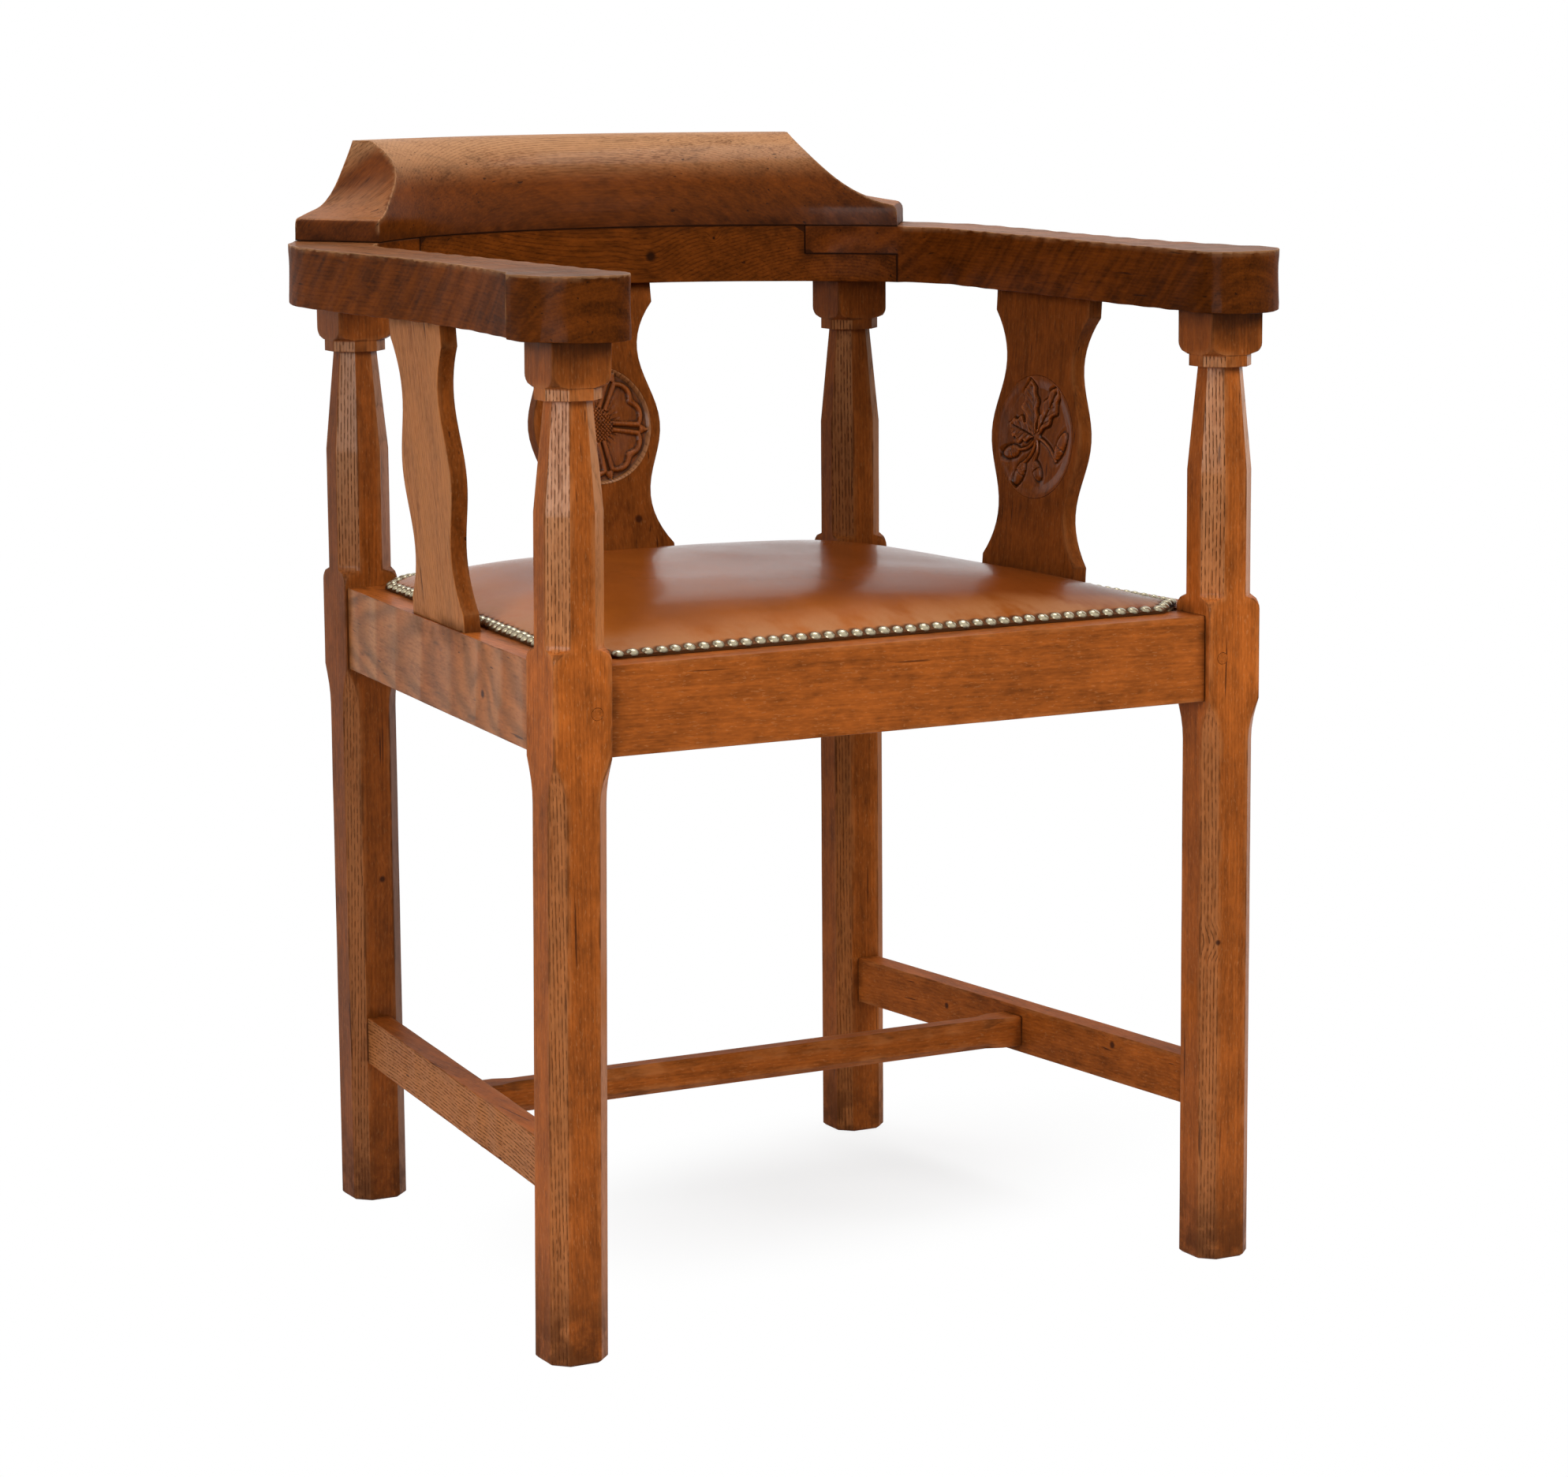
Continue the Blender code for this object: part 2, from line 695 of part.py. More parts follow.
def splat(name, foot, across, outward, lean, receivers):
    foot = Vector(foot)
    rise = Vector(outward) * lean + Vector((0, 0, arm_underside - rail_top))
    across = Vector(across).normalized()
    up = rise.normalized()
    frame = Matrix((across, up, across.cross(up))).transposed().to_4x4()
    frame.translation = foot
    piece = add(name, plate(name, splat_outline(rise.length), splat_thickness), oak)
    piece.matrix_local = frame
    middle = (splat_waist_foot + rise.length - splat_waist_head) / 2
    inward = -1 if frame.to_3x3().col[2].dot(Vector(outward)) > 0 else 1
    roundel = as_cutter(rod(f"{name}_roundel", roundel_diameter, 2 * roundel_depth, None, (0, 0, 0),
                            (0, 0, 1), cutters, sides=40))
    roundel.matrix_local = frame @ Matrix.Translation((0, middle, inward * splat_thickness / 2))
    cut(piece, roundel)
    half = splat_width / 2 + fit
    ends = splat_housing + fit
    blank = [(-half, -ends), (half, -ends), (half, rise.length + ends), (-half, rise.length + ends)]
    hollow = plate(f"{name}_housing", blank, splat_thickness + 2 * fit)
    housing = as_cutter(add(f"{name}_housing", hollow, None, group=cutters))
    housing.matrix_local = frame
    for receiver in receivers:
        cut(receiver, housing)
    return piece


splat_set = splat_inset + splat_thickness / 2
back_face = runs["back"].start.y
back_lean = bow_centre + bow_radius + splat_in_bow - (back_face - splat_set)
splat("back_splat", (0, back_face - splat_set, rail_top), (1, 0, 0), (0, 1, 0), back_lean,
      (rails["back"], back_arm_rail))
for side, word in ((-1, "left"), (1, "right")):
    turn = splay(rail_middle)
    offset = half_post - side_recess - splat_set / cos(turn)
    foot = side_x(0, rail_middle, offset)
    lean = (arm_inner + splat_in_arm - foot) / cos(turn)
    splat(f"{word}_splat", (side * foot, 0, rail_top), (-side * sin(turn), cos(turn), 0),
          (side * cos(turn), sin(turn), 0), lean, (rails[word], arms[side]))


# Seat: woven webbing in the rebate, a crowned pad and the leather cover

leather_front, leather_back = inset_corners(leather_inset)


def leather_half(y):
    t = (y - leather_front[1]) / (leather_back[1] - leather_front[1])
    return leather_front[0] + (leather_back[0] - leather_front[0]) * t


def crown(x, y):
    u = abs(x) / leather_half(y)
    middle = (leather_front[1] + leather_back[1]) / 2
    v = abs(y - middle) / (leather_back[1] - middle)
    rise = (1 - min(u, 1) ** crown_power) * (1 - min(v, 1) ** crown_power)
    return rail_top + fit + seat_crown * rise


def corner_cut(end, inset):
    corner = post_at(1, end, rail_top)
    back = 1 if end == "front" else -1
    clear = half_post + leather_post_gap
    point = Vector((corner.x - clear, corner.y + back * clear))
    edge_y = inset_corners(inset)[0 if end == "front" else 1][1]
    offset = half_post - side_recess - inset / cos(splay(rail_middle))
    run_in = abs(point.y - edge_y)
    run_out = side_x(point.y, rail_middle, offset) - point.x
    on_edge = (point.x - run_in, edge_y)
    on_side_y = point.y + back * run_out
    on_side = (side_x(on_side_y, rail_middle, offset), on_side_y)
    return on_edge, on_side


def seat_outline(inset, spacing=0.036):
    front_edge, front_side = corner_cut("front", inset)
    back_edge, back_side = corner_cut("back", inset)
    right = [front_edge, front_side, back_side, back_edge]
    corners = right + [(-x, y) for x, y in reversed(right)]
    outline = []
    for a, b in zip(corners, corners[1:] + corners[:1]):
        count = max(2, ceil(hypot(b[0] - a[0], b[1] - a[1]) / spacing))
        steps = [i / count for i in range(count)]
        outline += [(a[0] + (b[0] - a[0]) * t, a[1] + (b[1] - a[1]) * t) for t in steps]
    return outline


def domed(name, outline, low, high, rings=6):
    mesh = bpy.data.meshes.new(name)
    work = bmesh.new()
    middle = (0, sum(y for x, y in outline) / len(outline))

    def surface(level):
        rows = []
        for r in range(1, rings + 1):
            t = sin(pi / 2 * r / rings)
            row = [(middle[0] + (x - middle[0]) * t, middle[1] + (y - middle[1]) * t) for x, y in outline]
            rows.append([work.verts.new((x, y, level(x, y))) for x, y in row])
        tip = work.verts.new((*middle, level(*middle)))
        for i in range(len(outline)):
            j = (i + 1) % len(outline)
            work.faces.new((tip, rows[0][i], rows[0][j]))
            for inner, outer in zip(rows, rows[1:]):
                work.faces.new((inner[i], outer[i], outer[j], inner[j]))
        return rows[-1]

    rim_low, rim_high = surface(low), surface(high)
    for i in range(len(outline)):
        j = (i + 1) % len(outline)
        work.faces.new((rim_low[i], rim_low[j], rim_high[j], rim_high[i]))
    bmesh.ops.recalc_face_normals(work, faces=work.faces)
    work.to_mesh(mesh)
    work.free()
    mesh.shade_smooth()
    mesh.set_sharp_from_angle(angle=radians(50))
    return mesh


strap_pitch = webbing_thickness + fit
strap_floor = rail_top - rebate_depth + fit + webbing_thickness / 2
pad_floor = strap_floor + strap_pitch + webbing_thickness / 2 + fit
pad_inset = rebate_inset + fit


def pad_top(x, y):
    return max(crown(x, y) - fit, pad_floor + 2 * fit)


def leather_top(x, y):
    return crown(x, y) + leather_thickness


add("seat_pad", domed("seat_pad", seat_outline(pad_inset), lambda x, y: pad_floor, pad_top), stuffing)
add("seat_leather", domed("seat_leather", seat_outline(leather_inset), crown, leather_top), hide)


def strap_mesh(name, start, end, place, over):
    half = webbing_width / 2
    rise = half + webbing_thickness
    stops = [start]
    for cross_at in place:
        stops += [cross_at - rise - half / 2, cross_at - rise, cross_at + rise, cross_at + rise + half / 2]
    stops.append(end)
    levels = [0]
    for i in range(len(place)):
        up = strap_pitch if (i + over) % 2 else 0
        levels += [0, up, up, 0]
    levels.append(0)
    low = [[(s, y, z - webbing_thickness / 2) for y in (-half, half)] for s, z in zip(stops, levels)]
    high = [[(s, y, z + webbing_thickness / 2) for y in (half, -half)] for s, z in zip(stops, levels)]
    return loft(name, [a + b for a, b in zip(low, high)])


strap_rows = [(i - (webbing_count - 1) / 2) * webbing_spread for i in range(webbing_count)]
well_front, well_back = inset_corners(rebate_inset)
well_middle = (well_front[1] + well_back[1]) / 2


def well_half(y):
    t = (y - well_front[1]) / (well_back[1] - well_front[1])
    return well_front[0] + (well_back[0] - well_front[0]) * t


for i, row in enumerate(strap_rows):
    name = f"long_webbing_{i + 1}"
    half_run = (well_back[1] - well_front[1]) / 2 - webbing_end_gap
    mesh = strap_mesh(name, -half_run, half_run, strap_rows, i)
    strap = add(name, mesh, jute, (row, well_middle, strap_floor))
    strap.rotation_euler = (0, 0, pi / 2)
for i, row in enumerate(strap_rows):
    name = f"cross_webbing_{i + 1}"
    reach = well_half(well_middle + row + webbing_width / 2) - webbing_end_gap
    add(name, strap_mesh(name, -reach, reach, strap_rows, i + 1), jute, (0, well_middle + row, strap_floor))

bpy.context.view_layer.update()
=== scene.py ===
from math import atan2, ceil, cos, degrees, exp, floor, hypot, pi, radians, sin, sqrt
from random import Random

import bmesh
import bpy
from mathutils import Matrix, Vector, noise
from mathutils.bvhtree import BVHTree
from mathutils.geometry import convex_hull_2d
from mathutils.kdtree import KDTree


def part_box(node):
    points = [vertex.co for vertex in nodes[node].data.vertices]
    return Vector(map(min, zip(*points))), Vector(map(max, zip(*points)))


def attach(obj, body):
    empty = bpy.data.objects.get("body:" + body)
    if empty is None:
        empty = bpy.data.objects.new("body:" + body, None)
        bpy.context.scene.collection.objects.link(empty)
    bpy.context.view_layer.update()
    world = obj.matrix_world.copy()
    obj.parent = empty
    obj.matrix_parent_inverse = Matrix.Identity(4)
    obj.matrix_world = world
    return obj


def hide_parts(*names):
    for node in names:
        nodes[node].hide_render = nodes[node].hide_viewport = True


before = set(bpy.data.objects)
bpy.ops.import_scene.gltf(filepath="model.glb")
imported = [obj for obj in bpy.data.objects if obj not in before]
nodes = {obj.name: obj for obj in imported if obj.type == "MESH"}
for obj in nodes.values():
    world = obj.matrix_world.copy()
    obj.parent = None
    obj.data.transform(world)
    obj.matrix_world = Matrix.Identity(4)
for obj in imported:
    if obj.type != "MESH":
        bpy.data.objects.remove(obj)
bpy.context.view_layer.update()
scene = bpy.context.scene
scene.view_settings.view_transform = "Standard"
print("frame loaded with", len(nodes), "nodes")


def addObject(name, data):
    made = bpy.data.objects.new(name, data)
    scene.collection.objects.link(made)
    return made


camera = {
    "place": (-1.4492, -2.7616, 0.8778),
    "yaw": 28.387,              # degrees, to the right of straight on
    "pitch": -9.510,
    "roll": -0.302,
    "lens": 100.65,             # mm, on a frame 36 mm wide
}


def addCamera(view):
    yaw, pitch, roll = (radians(view[key]) for key in ("yaw", "pitch", "roll"))
    ahead = Vector((sin(yaw) * cos(pitch), cos(yaw) * cos(pitch), sin(pitch)))
    right = ahead.cross(Vector((0, 0, 1))).normalized()
    up = right.cross(ahead)
    across = right * cos(roll) + up * sin(roll)
    upright = up * cos(roll) - right * sin(roll)
    lens = bpy.data.cameras.new("photo_camera")
    lens.sensor_width, lens.sensor_fit, lens.lens = 36, "HORIZONTAL", view["lens"]
    scene.camera = addObject("photo_camera", lens)
    turn = Matrix((across, upright, -ahead)).transposed().to_4x4()
    scene.camera.matrix_world = Matrix.Translation(view["place"]) @ turn


addCamera(camera)
print("camera set")


class Tap:                      # one output of a shader node, used in plain sums
    def __init__(self, tree, socket=None):
        self.tree = tree
        self.socket = socket

    def node(self, kind, settings, sockets, out=0):
        made = self.tree.nodes.new("ShaderNode" + kind)
        for key, value in settings.items():
            setattr(made, key, value)
        for key, value in sockets.items():
            if isinstance(value, Tap):
                self.tree.links.new(value.socket, made.inputs[key])
            elif isinstance(value, tuple) and made.inputs[key].type == "RGBA":
                made.inputs[key].default_value = (*value, 1)
            else:
                made.inputs[key].default_value = value
        return Tap(self.tree, made.outputs[out])

    def maths(self, operation, first, second=0.0):
        return self.node("Math", {"operation": operation}, {0: first, 1: second})

    def __add__(self, other):
        return self.maths("ADD", self, other)

    def __sub__(self, other):
        return self.maths("SUBTRACT", self, other)

    def __rsub__(self, other):
        return self.maths("SUBTRACT", other, self)

    def __mul__(self, other):
        return self.maths("MULTIPLY", self, other)

    def __truediv__(self, other):
        return self.maths("DIVIDE", self, other)

    def __rtruediv__(self, other):
        return self.maths("DIVIDE", other, self)

    def __pow__(self, other):
        return self.maths("POWER", self, other)

    def __rpow__(self, other):
        return self.maths("POWER", other, self)

    __radd__ = __add__
    __rmul__ = __mul__


def newMaterial(name):
    material = bpy.data.materials.new(name)
    material.use_nodes = True
    material.node_tree.nodes.clear()
    return material, Tap(material.node_tree)


def larger(first, second):
    return first.maths("MAXIMUM", first, second)


def smaller(first, second):
    return first.maths("MINIMUM", first, second)


def ease(value, low, high, atLow=0.0, atHigh=1.0):      # a soft step between two values
    limits = {"From Min": low, "From Max": high, "To Min": atLow, "To Max": atHigh}
    return value.node("MapRange", {"interpolation_type": "SMOOTHSTEP"}, {"Value": value, **limits})


def blend(share, first, second):        # of two colours
    return share.node("Mix", {"data_type": "RGBA"}, {0: share, 6: first, 7: second}, 2)


def scaled(vector, factors):
    return vector.node("VectorMath", {"operation": "MULTIPLY"}, {0: vector, 1: factors})


def cloudy(vector, scale=1.0, detail=2.0, rough=0.5):
    sockets = {"Vector": vector, "Scale": scale, "Detail": detail, "Roughness": rough}
    return vector.node("TexNoise", {"noise_dimensions": "3D"}, sockets)


def attribute(tap, name, out):
    return tap.node("Attribute", {"attribute_name": name}, {}, out)


def placeOf(tap):
    return tap.node("NewGeometry", {}, {}, "Position")


def toOutput(tap, shader, kind):
    output = tap.tree.nodes.new("ShaderNodeOutput" + kind)
    tap.tree.links.new(shader.socket, output.inputs["Surface"])


def finishSurface(tap, constants, links):
    toOutput(tap, tap.node("BsdfPrincipled", {}, {**constants, **links}), "Material")


paleOak = {
    "name": "waxed_oak",
    "late": (0.345, 0.087, 0.013),
    "early": (0.220, 0.049, 0.006),
    "pore": (0.035, 0.008, 0.002),
    # pale worn wood, also painted sheen on the facets and left faces, and painted highlight in the carvings
    "worn": (0.62, 0.262, 0.094),
    # dirt, and painted shade near the joints and in carved hollows
    "grimeAndShade": (0.060, 0.018, 0.005),
    "ring": 0.0024,             # a year's growth
    "contrast": 0.75,           # between its two halves
    "blur": 0.0,                # 1 where the years run softly into each other
    "open": 1.0,                # share of the pores that show
    "porePitch": 0.0013,
    "poreLength": 0.0055,
    "poreDepth": 0.00024,
    "flame": 0.0,               # rippled figure across the grain
    "chalk": 0.22,              # pale flecks
    "smudge": 0.07,             # dark stains along the grain
    "arrisLine": 0.10,          # share of pale wood right on the arrises
    "arrisDirt": 0.55,          # and of dirt caught along them
    "wornReach": 0.0045,
    "jointGrimeAndShadeReach": 0.010,
    "roughness": 0.45,
    "specular": 0.03,
    "wax": 0.09,                # share of the polish left on it
    "rubWax": 0.4,              # and more of it where hands rub
    "polish": 0.22,             # and its roughness
    "footStain": 0.085,         # height of the scuffed feet
}
darkOak = dict(
    paleOak,
    name="dark_waxed_oak",
    late=(0.130, 0.030, 0.003),
    early=(0.078, 0.016, 0.002),
    pore=(0.016, 0.005, 0.002),
    # pale worn wood, also painted sheen on the arm and crest tops
    worn=(0.60, 0.300, 0.135),
    grimeAndShade=(0.022, 0.007, 0.003),
    flame=0.48,
    chalk=0.0,
    smudge=0.2,
    arrisLine=0.5,
    arrisDirt=0.0,
    roughness=0.5,
    specular=0.01,
    wax=0.045,
    rubWax=0.85,
    polish=0.22,
)
crestOak = dict(darkOak, name="polished_dark_oak", flame=0.16, wax=0.13, rubWax=0.0)
bowOak = dict(darkOak, name="curly_dark_oak", late=(0.150, 0.036, 0.004), flame=0.12, wax=0.03)
# The insides are long unpolished, but for the carvings, and the left rail has a bold figure of its own
dullOak = dict(paleOak, name="dull_oak", roughness=0.5, wax=0.03, rubWax=0.0, polish=0.34)
carvedOak = dict(dullOak, name="burnished_oak", wax=0.35, polish=0.2)
figuredOak = dict(
    paleOak,
    name="figured_oak",
    early=(0.130, 0.036, 0.008),
    # also the painted sheen along the adze cuts
    worn=(0.50, 0.205, 0.070),
    ring=0.0050,
    contrast=0.66,
    blur=1.0,
    smudge=0.4,
    open=0.1,
    wax=0.16,
    rubWax=0.0,
)
knots = {                       # place in metres, radius in mm
    "places": (
        ((0.2112, 0.0524, 0.1236), 3.0), ((0.2322, -0.1482, 0.1321), 3.5), ((-0.2026, 0.1689, 0.2430), 3.0),
        ((-0.2387, -0.0717, 0.5230), 2.0), ((0.0271, 0.1999, 0.4933), 4.0), ((0.2396, -0.2723, 0.2302), 2.6),
        ((0.0509, 0.2228, 0.6898), 5.0), ((0.0980, 0.2095, 0.7027), 1.4), ((-0.2543, -0.1263, 0.4254), 4.0),
    ),
    "reach": 7.0,               # how many radii away the grain still bends
    "bend": 0.005,
}
grainLayers = {                 # scales along and across the grain, detail, roughness, weight in the tone
    "figure": (3.2, 42.0, 3.0, 0.55, 0.60),
    "fibre": (16.0, 620.0, 2.0, 0.60, 0.60),
    "flecks": (150.0, 640.0, 1.0, 0.50, 0.65),
    "blotch": (38.0, 120.0, 3.0, 0.65, 0.80),
    "board": (1.3, 9.0, 2.0, 0.50, 0.50),
    "long": (7.0, 260.0, 2.0, 0.60, 0.65),
}


def makeOak(look):
    material, tap = newMaterial(look["name"])
    grain = attribute(tap, "grain", "Vector")
    names = ("arris", "seam", "toneAndPaintedLight", "wearAndPaintedLight", "rings")
    arris, seam, toneAndPaintedLight, wearAndPaintedLight, rings = (attribute(tap, name, "Fac") for name in names)
    place = placeOf(tap)

    def streaks(along, across, detail=2.0, rough=0.5):
        return cloudy(scaled(grain, (along, across, across)), 1.0, detail, rough)

    # the tree's years, bent round the knots
    along, across, deep = (tap.node("SeparateXYZ", {}, {"Vector": grain}, i) for i in range(3))
    radius = (across * across + deep * deep) ** 0.5 + (streaks(3.0, 22.0) - 0.5) * 0.004
    knot = 0
    for spot, size in knots["places"]:
        gap = tap.node("VectorMath", {"operation": "DISTANCE"}, {0: place, 1: spot}, "Value")
        radius = radius + ease(gap, 0.0, size * knots["reach"] / 1000, knots["bend"], 0.0)
        knot = knot + ease(gap, size * 0.0004, size * 0.0011, 1.0, 0.0)
    year = tap.maths("FRACT", radius / look["ring"])
    if look["blur"]:
        spring = ease(tap.maths("ABSOLUTE", year - 0.5), 0.10, 0.48)
    else:
        spring = ease(year, 0.05, 0.5, 1.0, 0.0) * ease(year, 0.0, 0.05)

    # streaks, pores and cracks along the grain
    mottle = cloudy(place, 34.0, 4.0, 0.6)
    layers, tone = {}, 1 + (mottle - 0.5) * 0.8
    for name, (*scales, weight) in grainLayers.items():
        layers[name] = streaks(*scales)
        tone = tone + (layers[name] - 0.5) * weight
    figure, fibre, flecks, long = (layers[name] for name in ("figure", "fibre", "flecks", "long"))
    dashes = streaks(1 / look["poreLength"], 1 / look["porePitch"], 1.0)
    shown = smaller(rings * (0.25 + 1.6 * wearAndPaintedLight), 1.0)     # years show where hands rub, and where sheen is painted
    pores = ease(dashes, 0.43, 0.54) * (0.06 + 0.94 * spring) * shown * look["open"]
    chalk = ease(streaks(240.0, 900.0, 1.0), 0.62, 0.72)
    smudge = ease(streaks(15.0, 75.0, 3.0, 0.6), 0.57, 0.70) * look["smudge"]
    checks = ease(streaks(9.0, 330.0, 1.0), 0.72, 0.78)       # short drying cracks

    # colour, and pale wood where it is rubbed, which is also painted sheen and highlight
    wood = blend(spring * shown * look["contrast"], look["late"], look["early"])
    if look["flame"]:
        wave = tap.node("CombineXYZ", {}, {0: along * 90 + deep * 95, 1: across * 12, 2: deep * 16})
        tone = tone + (ease(cloudy(wave, 1.0, 2.0, 0.55), 0.36, 0.64) - 0.5) * look["flame"]
    wood = tap.node("HueSaturation", {}, {"Value": tone, "Color": wood})
    rub = ease(arris, 0.0004, look["wornReach"], 1.0, 0.0) * ease(mottle, 0.38, 0.62)
    # pale line on worn arrises, and painted highlight on carved ridges
    edge = ease(arris, 0.0005, 0.0017, 1.0, 0.0)
    # pale wood where handled, also painted sheen on facets, tops, left faces and the adze cuts
    handledAndSheen = wearAndPaintedLight * ease(figure * 0.3 + long * 0.2 + fibre * 0.25 + flecks * 0.25, 0.26, 0.56)
    worn = larger(larger(rub * 0.25, edge * look["arrisLine"]), handledAndSheen * 0.9)
    worn = larger(worn, chalk * look["chalk"])
    wood = blend(worn, wood, look["worn"])
    shade = toneAndPaintedLight * (1 - spring * shown * worn * 0.6 * look["contrast"]) * (1 - smudge)
    wood = tap.node("HueSaturation", {}, {"Value": shade, "Color": wood})
    wood = blend(larger(pores * 0.9, checks * 0.75), wood, look["pore"])
    wood = blend(smaller(knot * 0.9, 1.0), wood, look["pore"])

    # dirt in the joints, on the feet and along the arrises, and painted shade near the joints and in carved
    # hollows
    patchy = ease(cloudy(place, 60.0, 2.0), 0.3, 0.7)
    # dirt near other pieces, which is also painted shade between parts
    dirtAndShade = ease(seam, 0.0005, look["jointGrimeAndShadeReach"], 1.0, 0.0) * patchy
    line = ease(seam, 0.0004, 0.0018, 1.0, 0.0)        # the open joints, and painted shade in carved hollows
    height = tap.node("SeparateXYZ", {}, {"Vector": place}, 2)
    scuffs = cloudy(place, 75.0, 4.0, 0.65) * 0.5 + mottle * 0.5
    scuffs = ease(height, 0.004, look["footStain"], 1.0, 0.0) * ease(scuffs, 0.32, 0.56)
    caught = edge * ease(streaks(30.0, 90.0, 2.0), 0.48, 0.62) * look["arrisDirt"]
    dirtAndShade = larger(dirtAndShade * 0.6, larger(line * 0.92, scuffs * 0.8))
    dirtAndShade = larger(dirtAndShade, caught)
    wood = blend(dirtAndShade, wood, look["grimeAndShade"])

    relief = fibre * 0.07 + figure * 0.25 - pores * 0.9 - checks * 1.6
    bumped = tap.node("Bump", {}, {"Strength": 0.7, "Distance": look["poreDepth"], "Height": relief})
    gloss = look["roughness"] + (figure - 0.5) * 0.16 + pores * 0.3 + dirtAndShade * 0.2
    wax = (look["wax"] + handledAndSheen * look["rubWax"]) * (0.7 + figure * 0.6) * (1 - pores) * (1 - dirtAndShade * 0.7)
    finishSurface(
        tap,
        {"Specular IOR Level": look["specular"], "Coat Roughness": look["polish"]},
        {"Base Color": wood, "Roughness": gloss, "Coat Weight": wax, "Normal": bumped},
    )
    return material


oak = makeOak(paleOak)
darkenedOak = makeOak(darkOak)
polishedOak = makeOak(crestOak)
curlyOak = makeOak(bowOak)
unpolishedOak = makeOak(dullOak)
burnishedOak = makeOak(carvedOak)
loopedOak = makeOak(figuredOak)
print("oak finishes made")

solids = {}
for name, node in nodes.items():
    mesh = node.data
    solids[name] = ([v.co.copy() for v in mesh.vertices], [tuple(p.vertices) for p in mesh.polygons])


def neighbours(name, pinned=True):      # every other solid, as one search tree
    points, faces = [], []
    for other, (places, polygons) in solids.items():
        if other != name and (pinned or not other.endswith("_peg")):
            start = len(points)
            points += places
            faces += [tuple(start + i for i in polygon) for polygon in polygons]
    return BVHTree.FromPolygons(points, faces)


def cadSolid(name):
    work = bmesh.new()
    work.from_mesh(nodes[name].data)
    bmesh.ops.remove_doubles(work, verts=work.verts, dist=2e-6)
    bmesh.ops.dissolve_limit(work, angle_limit=radians(0.6), verts=work.verts, edges=work.edges)
    return work


def sliceUp(work, axis, step):
    places = [v.co[axis] for v in work.verts]
    low, high = min(places), max(places)
    count = ceil((high - low) / step)
    normal = Vector((0, 0, 0))
    normal[axis] = 1
    for i in range(1, count):
        point = normal * (low + (high - low) * i / count)
        geometry = work.verts[:] + work.edges[:] + work.faces[:]
        bmesh.ops.bisect_plane(work, geom=geometry, plane_co=point, plane_no=normal, dist=1e-5)


def addPiece(name, work, material, slotName, angle=30, crisp=False):
    mesh = bpy.data.meshes.new(name)
    work.to_mesh(mesh)
    mesh.materials.append(material)
    mesh.shade_smooth()
    mesh.set_sharp_from_angle(angle=radians(angle))
    piece = addObject(name, mesh)
    if crisp:                   # flat faces stay flat up to their eased arrises
        level = piece.modifiers.new("crisp", "WEIGHTED_NORMAL")
        level.weight, level.keep_sharp = 70, True
    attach(piece, "root")
    return piece


def setFields(mesh, fields):    # a list of numbers for each field, three for each point in the grain's
    for name, values in fields.items():
        kind, key = ("FLOAT_VECTOR", "vector") if name == "grain" else ("FLOAT", "value")
        mesh.attributes.new(name=name, type=kind, domain="POINT").data.foreach_set(key, values)


def circle(count):
    return [(cos(2 * pi * i / count), sin(2 * pi * i / count)) for i in range(count)]


def faceRings(work, tip, rows):         # a fan round the tip, then quads from ring to ring
    count = len(rows[0])
    for i in range(count):
        j = (i + 1) % count
        work.faces.new((tip, rows[0][i], rows[0][j]))
        for inner, outer in zip(rows, rows[1:]):
            work.faces.new((inner[i], outer[i], outer[j], inner[j]))


def grainAt(place, middle, axis, turn, pith):
    local = turn @ (place - middle)
    others = [i for i in range(3) if i != axis]
    return local[axis] + pith[2], local[others[0]] + pith[0], local[others[1]] + pith[1]


def softStep(value, low, high):
    t = min(1, max(0, (value - low) / (high - low)))
    return t * t * (3 - 2 * t)


def partWay(first, second, share):
    return first + (second - first) * share


adze = {
    "depth": 0.0016,
    "pitch": 0.050,
    "bare": (0.30, 0.95),       # least and most painted sheen along each cut
}


def adzeRun(place):             # place along the cuts, one unit a cut
    return place.y / adze["pitch"] + 0.9 * noise.noise(Vector((place.y * 8, place.z * 3, 1.7)))


def adzed(place, normal):       # shallow hollows left by the adze on the left side
    if normal.x > -0.6:
        return 0.0
    hollow = 0.1 + 0.9 * abs(sin(pi * adzeRun(place)))
    return -adze["depth"] * hollow * (0.65 + 0.7 * noise.noise(place * 13))


def adzeSheen(place, normal):     # painted sheen, growing towards one end of each cut
    if normal.x > -0.6:
        return 0.0
    run = adzeRun(place)
    share = (1 - run % 1) * (0.8 + 0.9 * noise.noise(Vector((floor(run) * 3.3, 0, 4.2))))
    return partWay(*adze["bare"], max(0, share)) + 0.12 * noise.noise(place * 19)
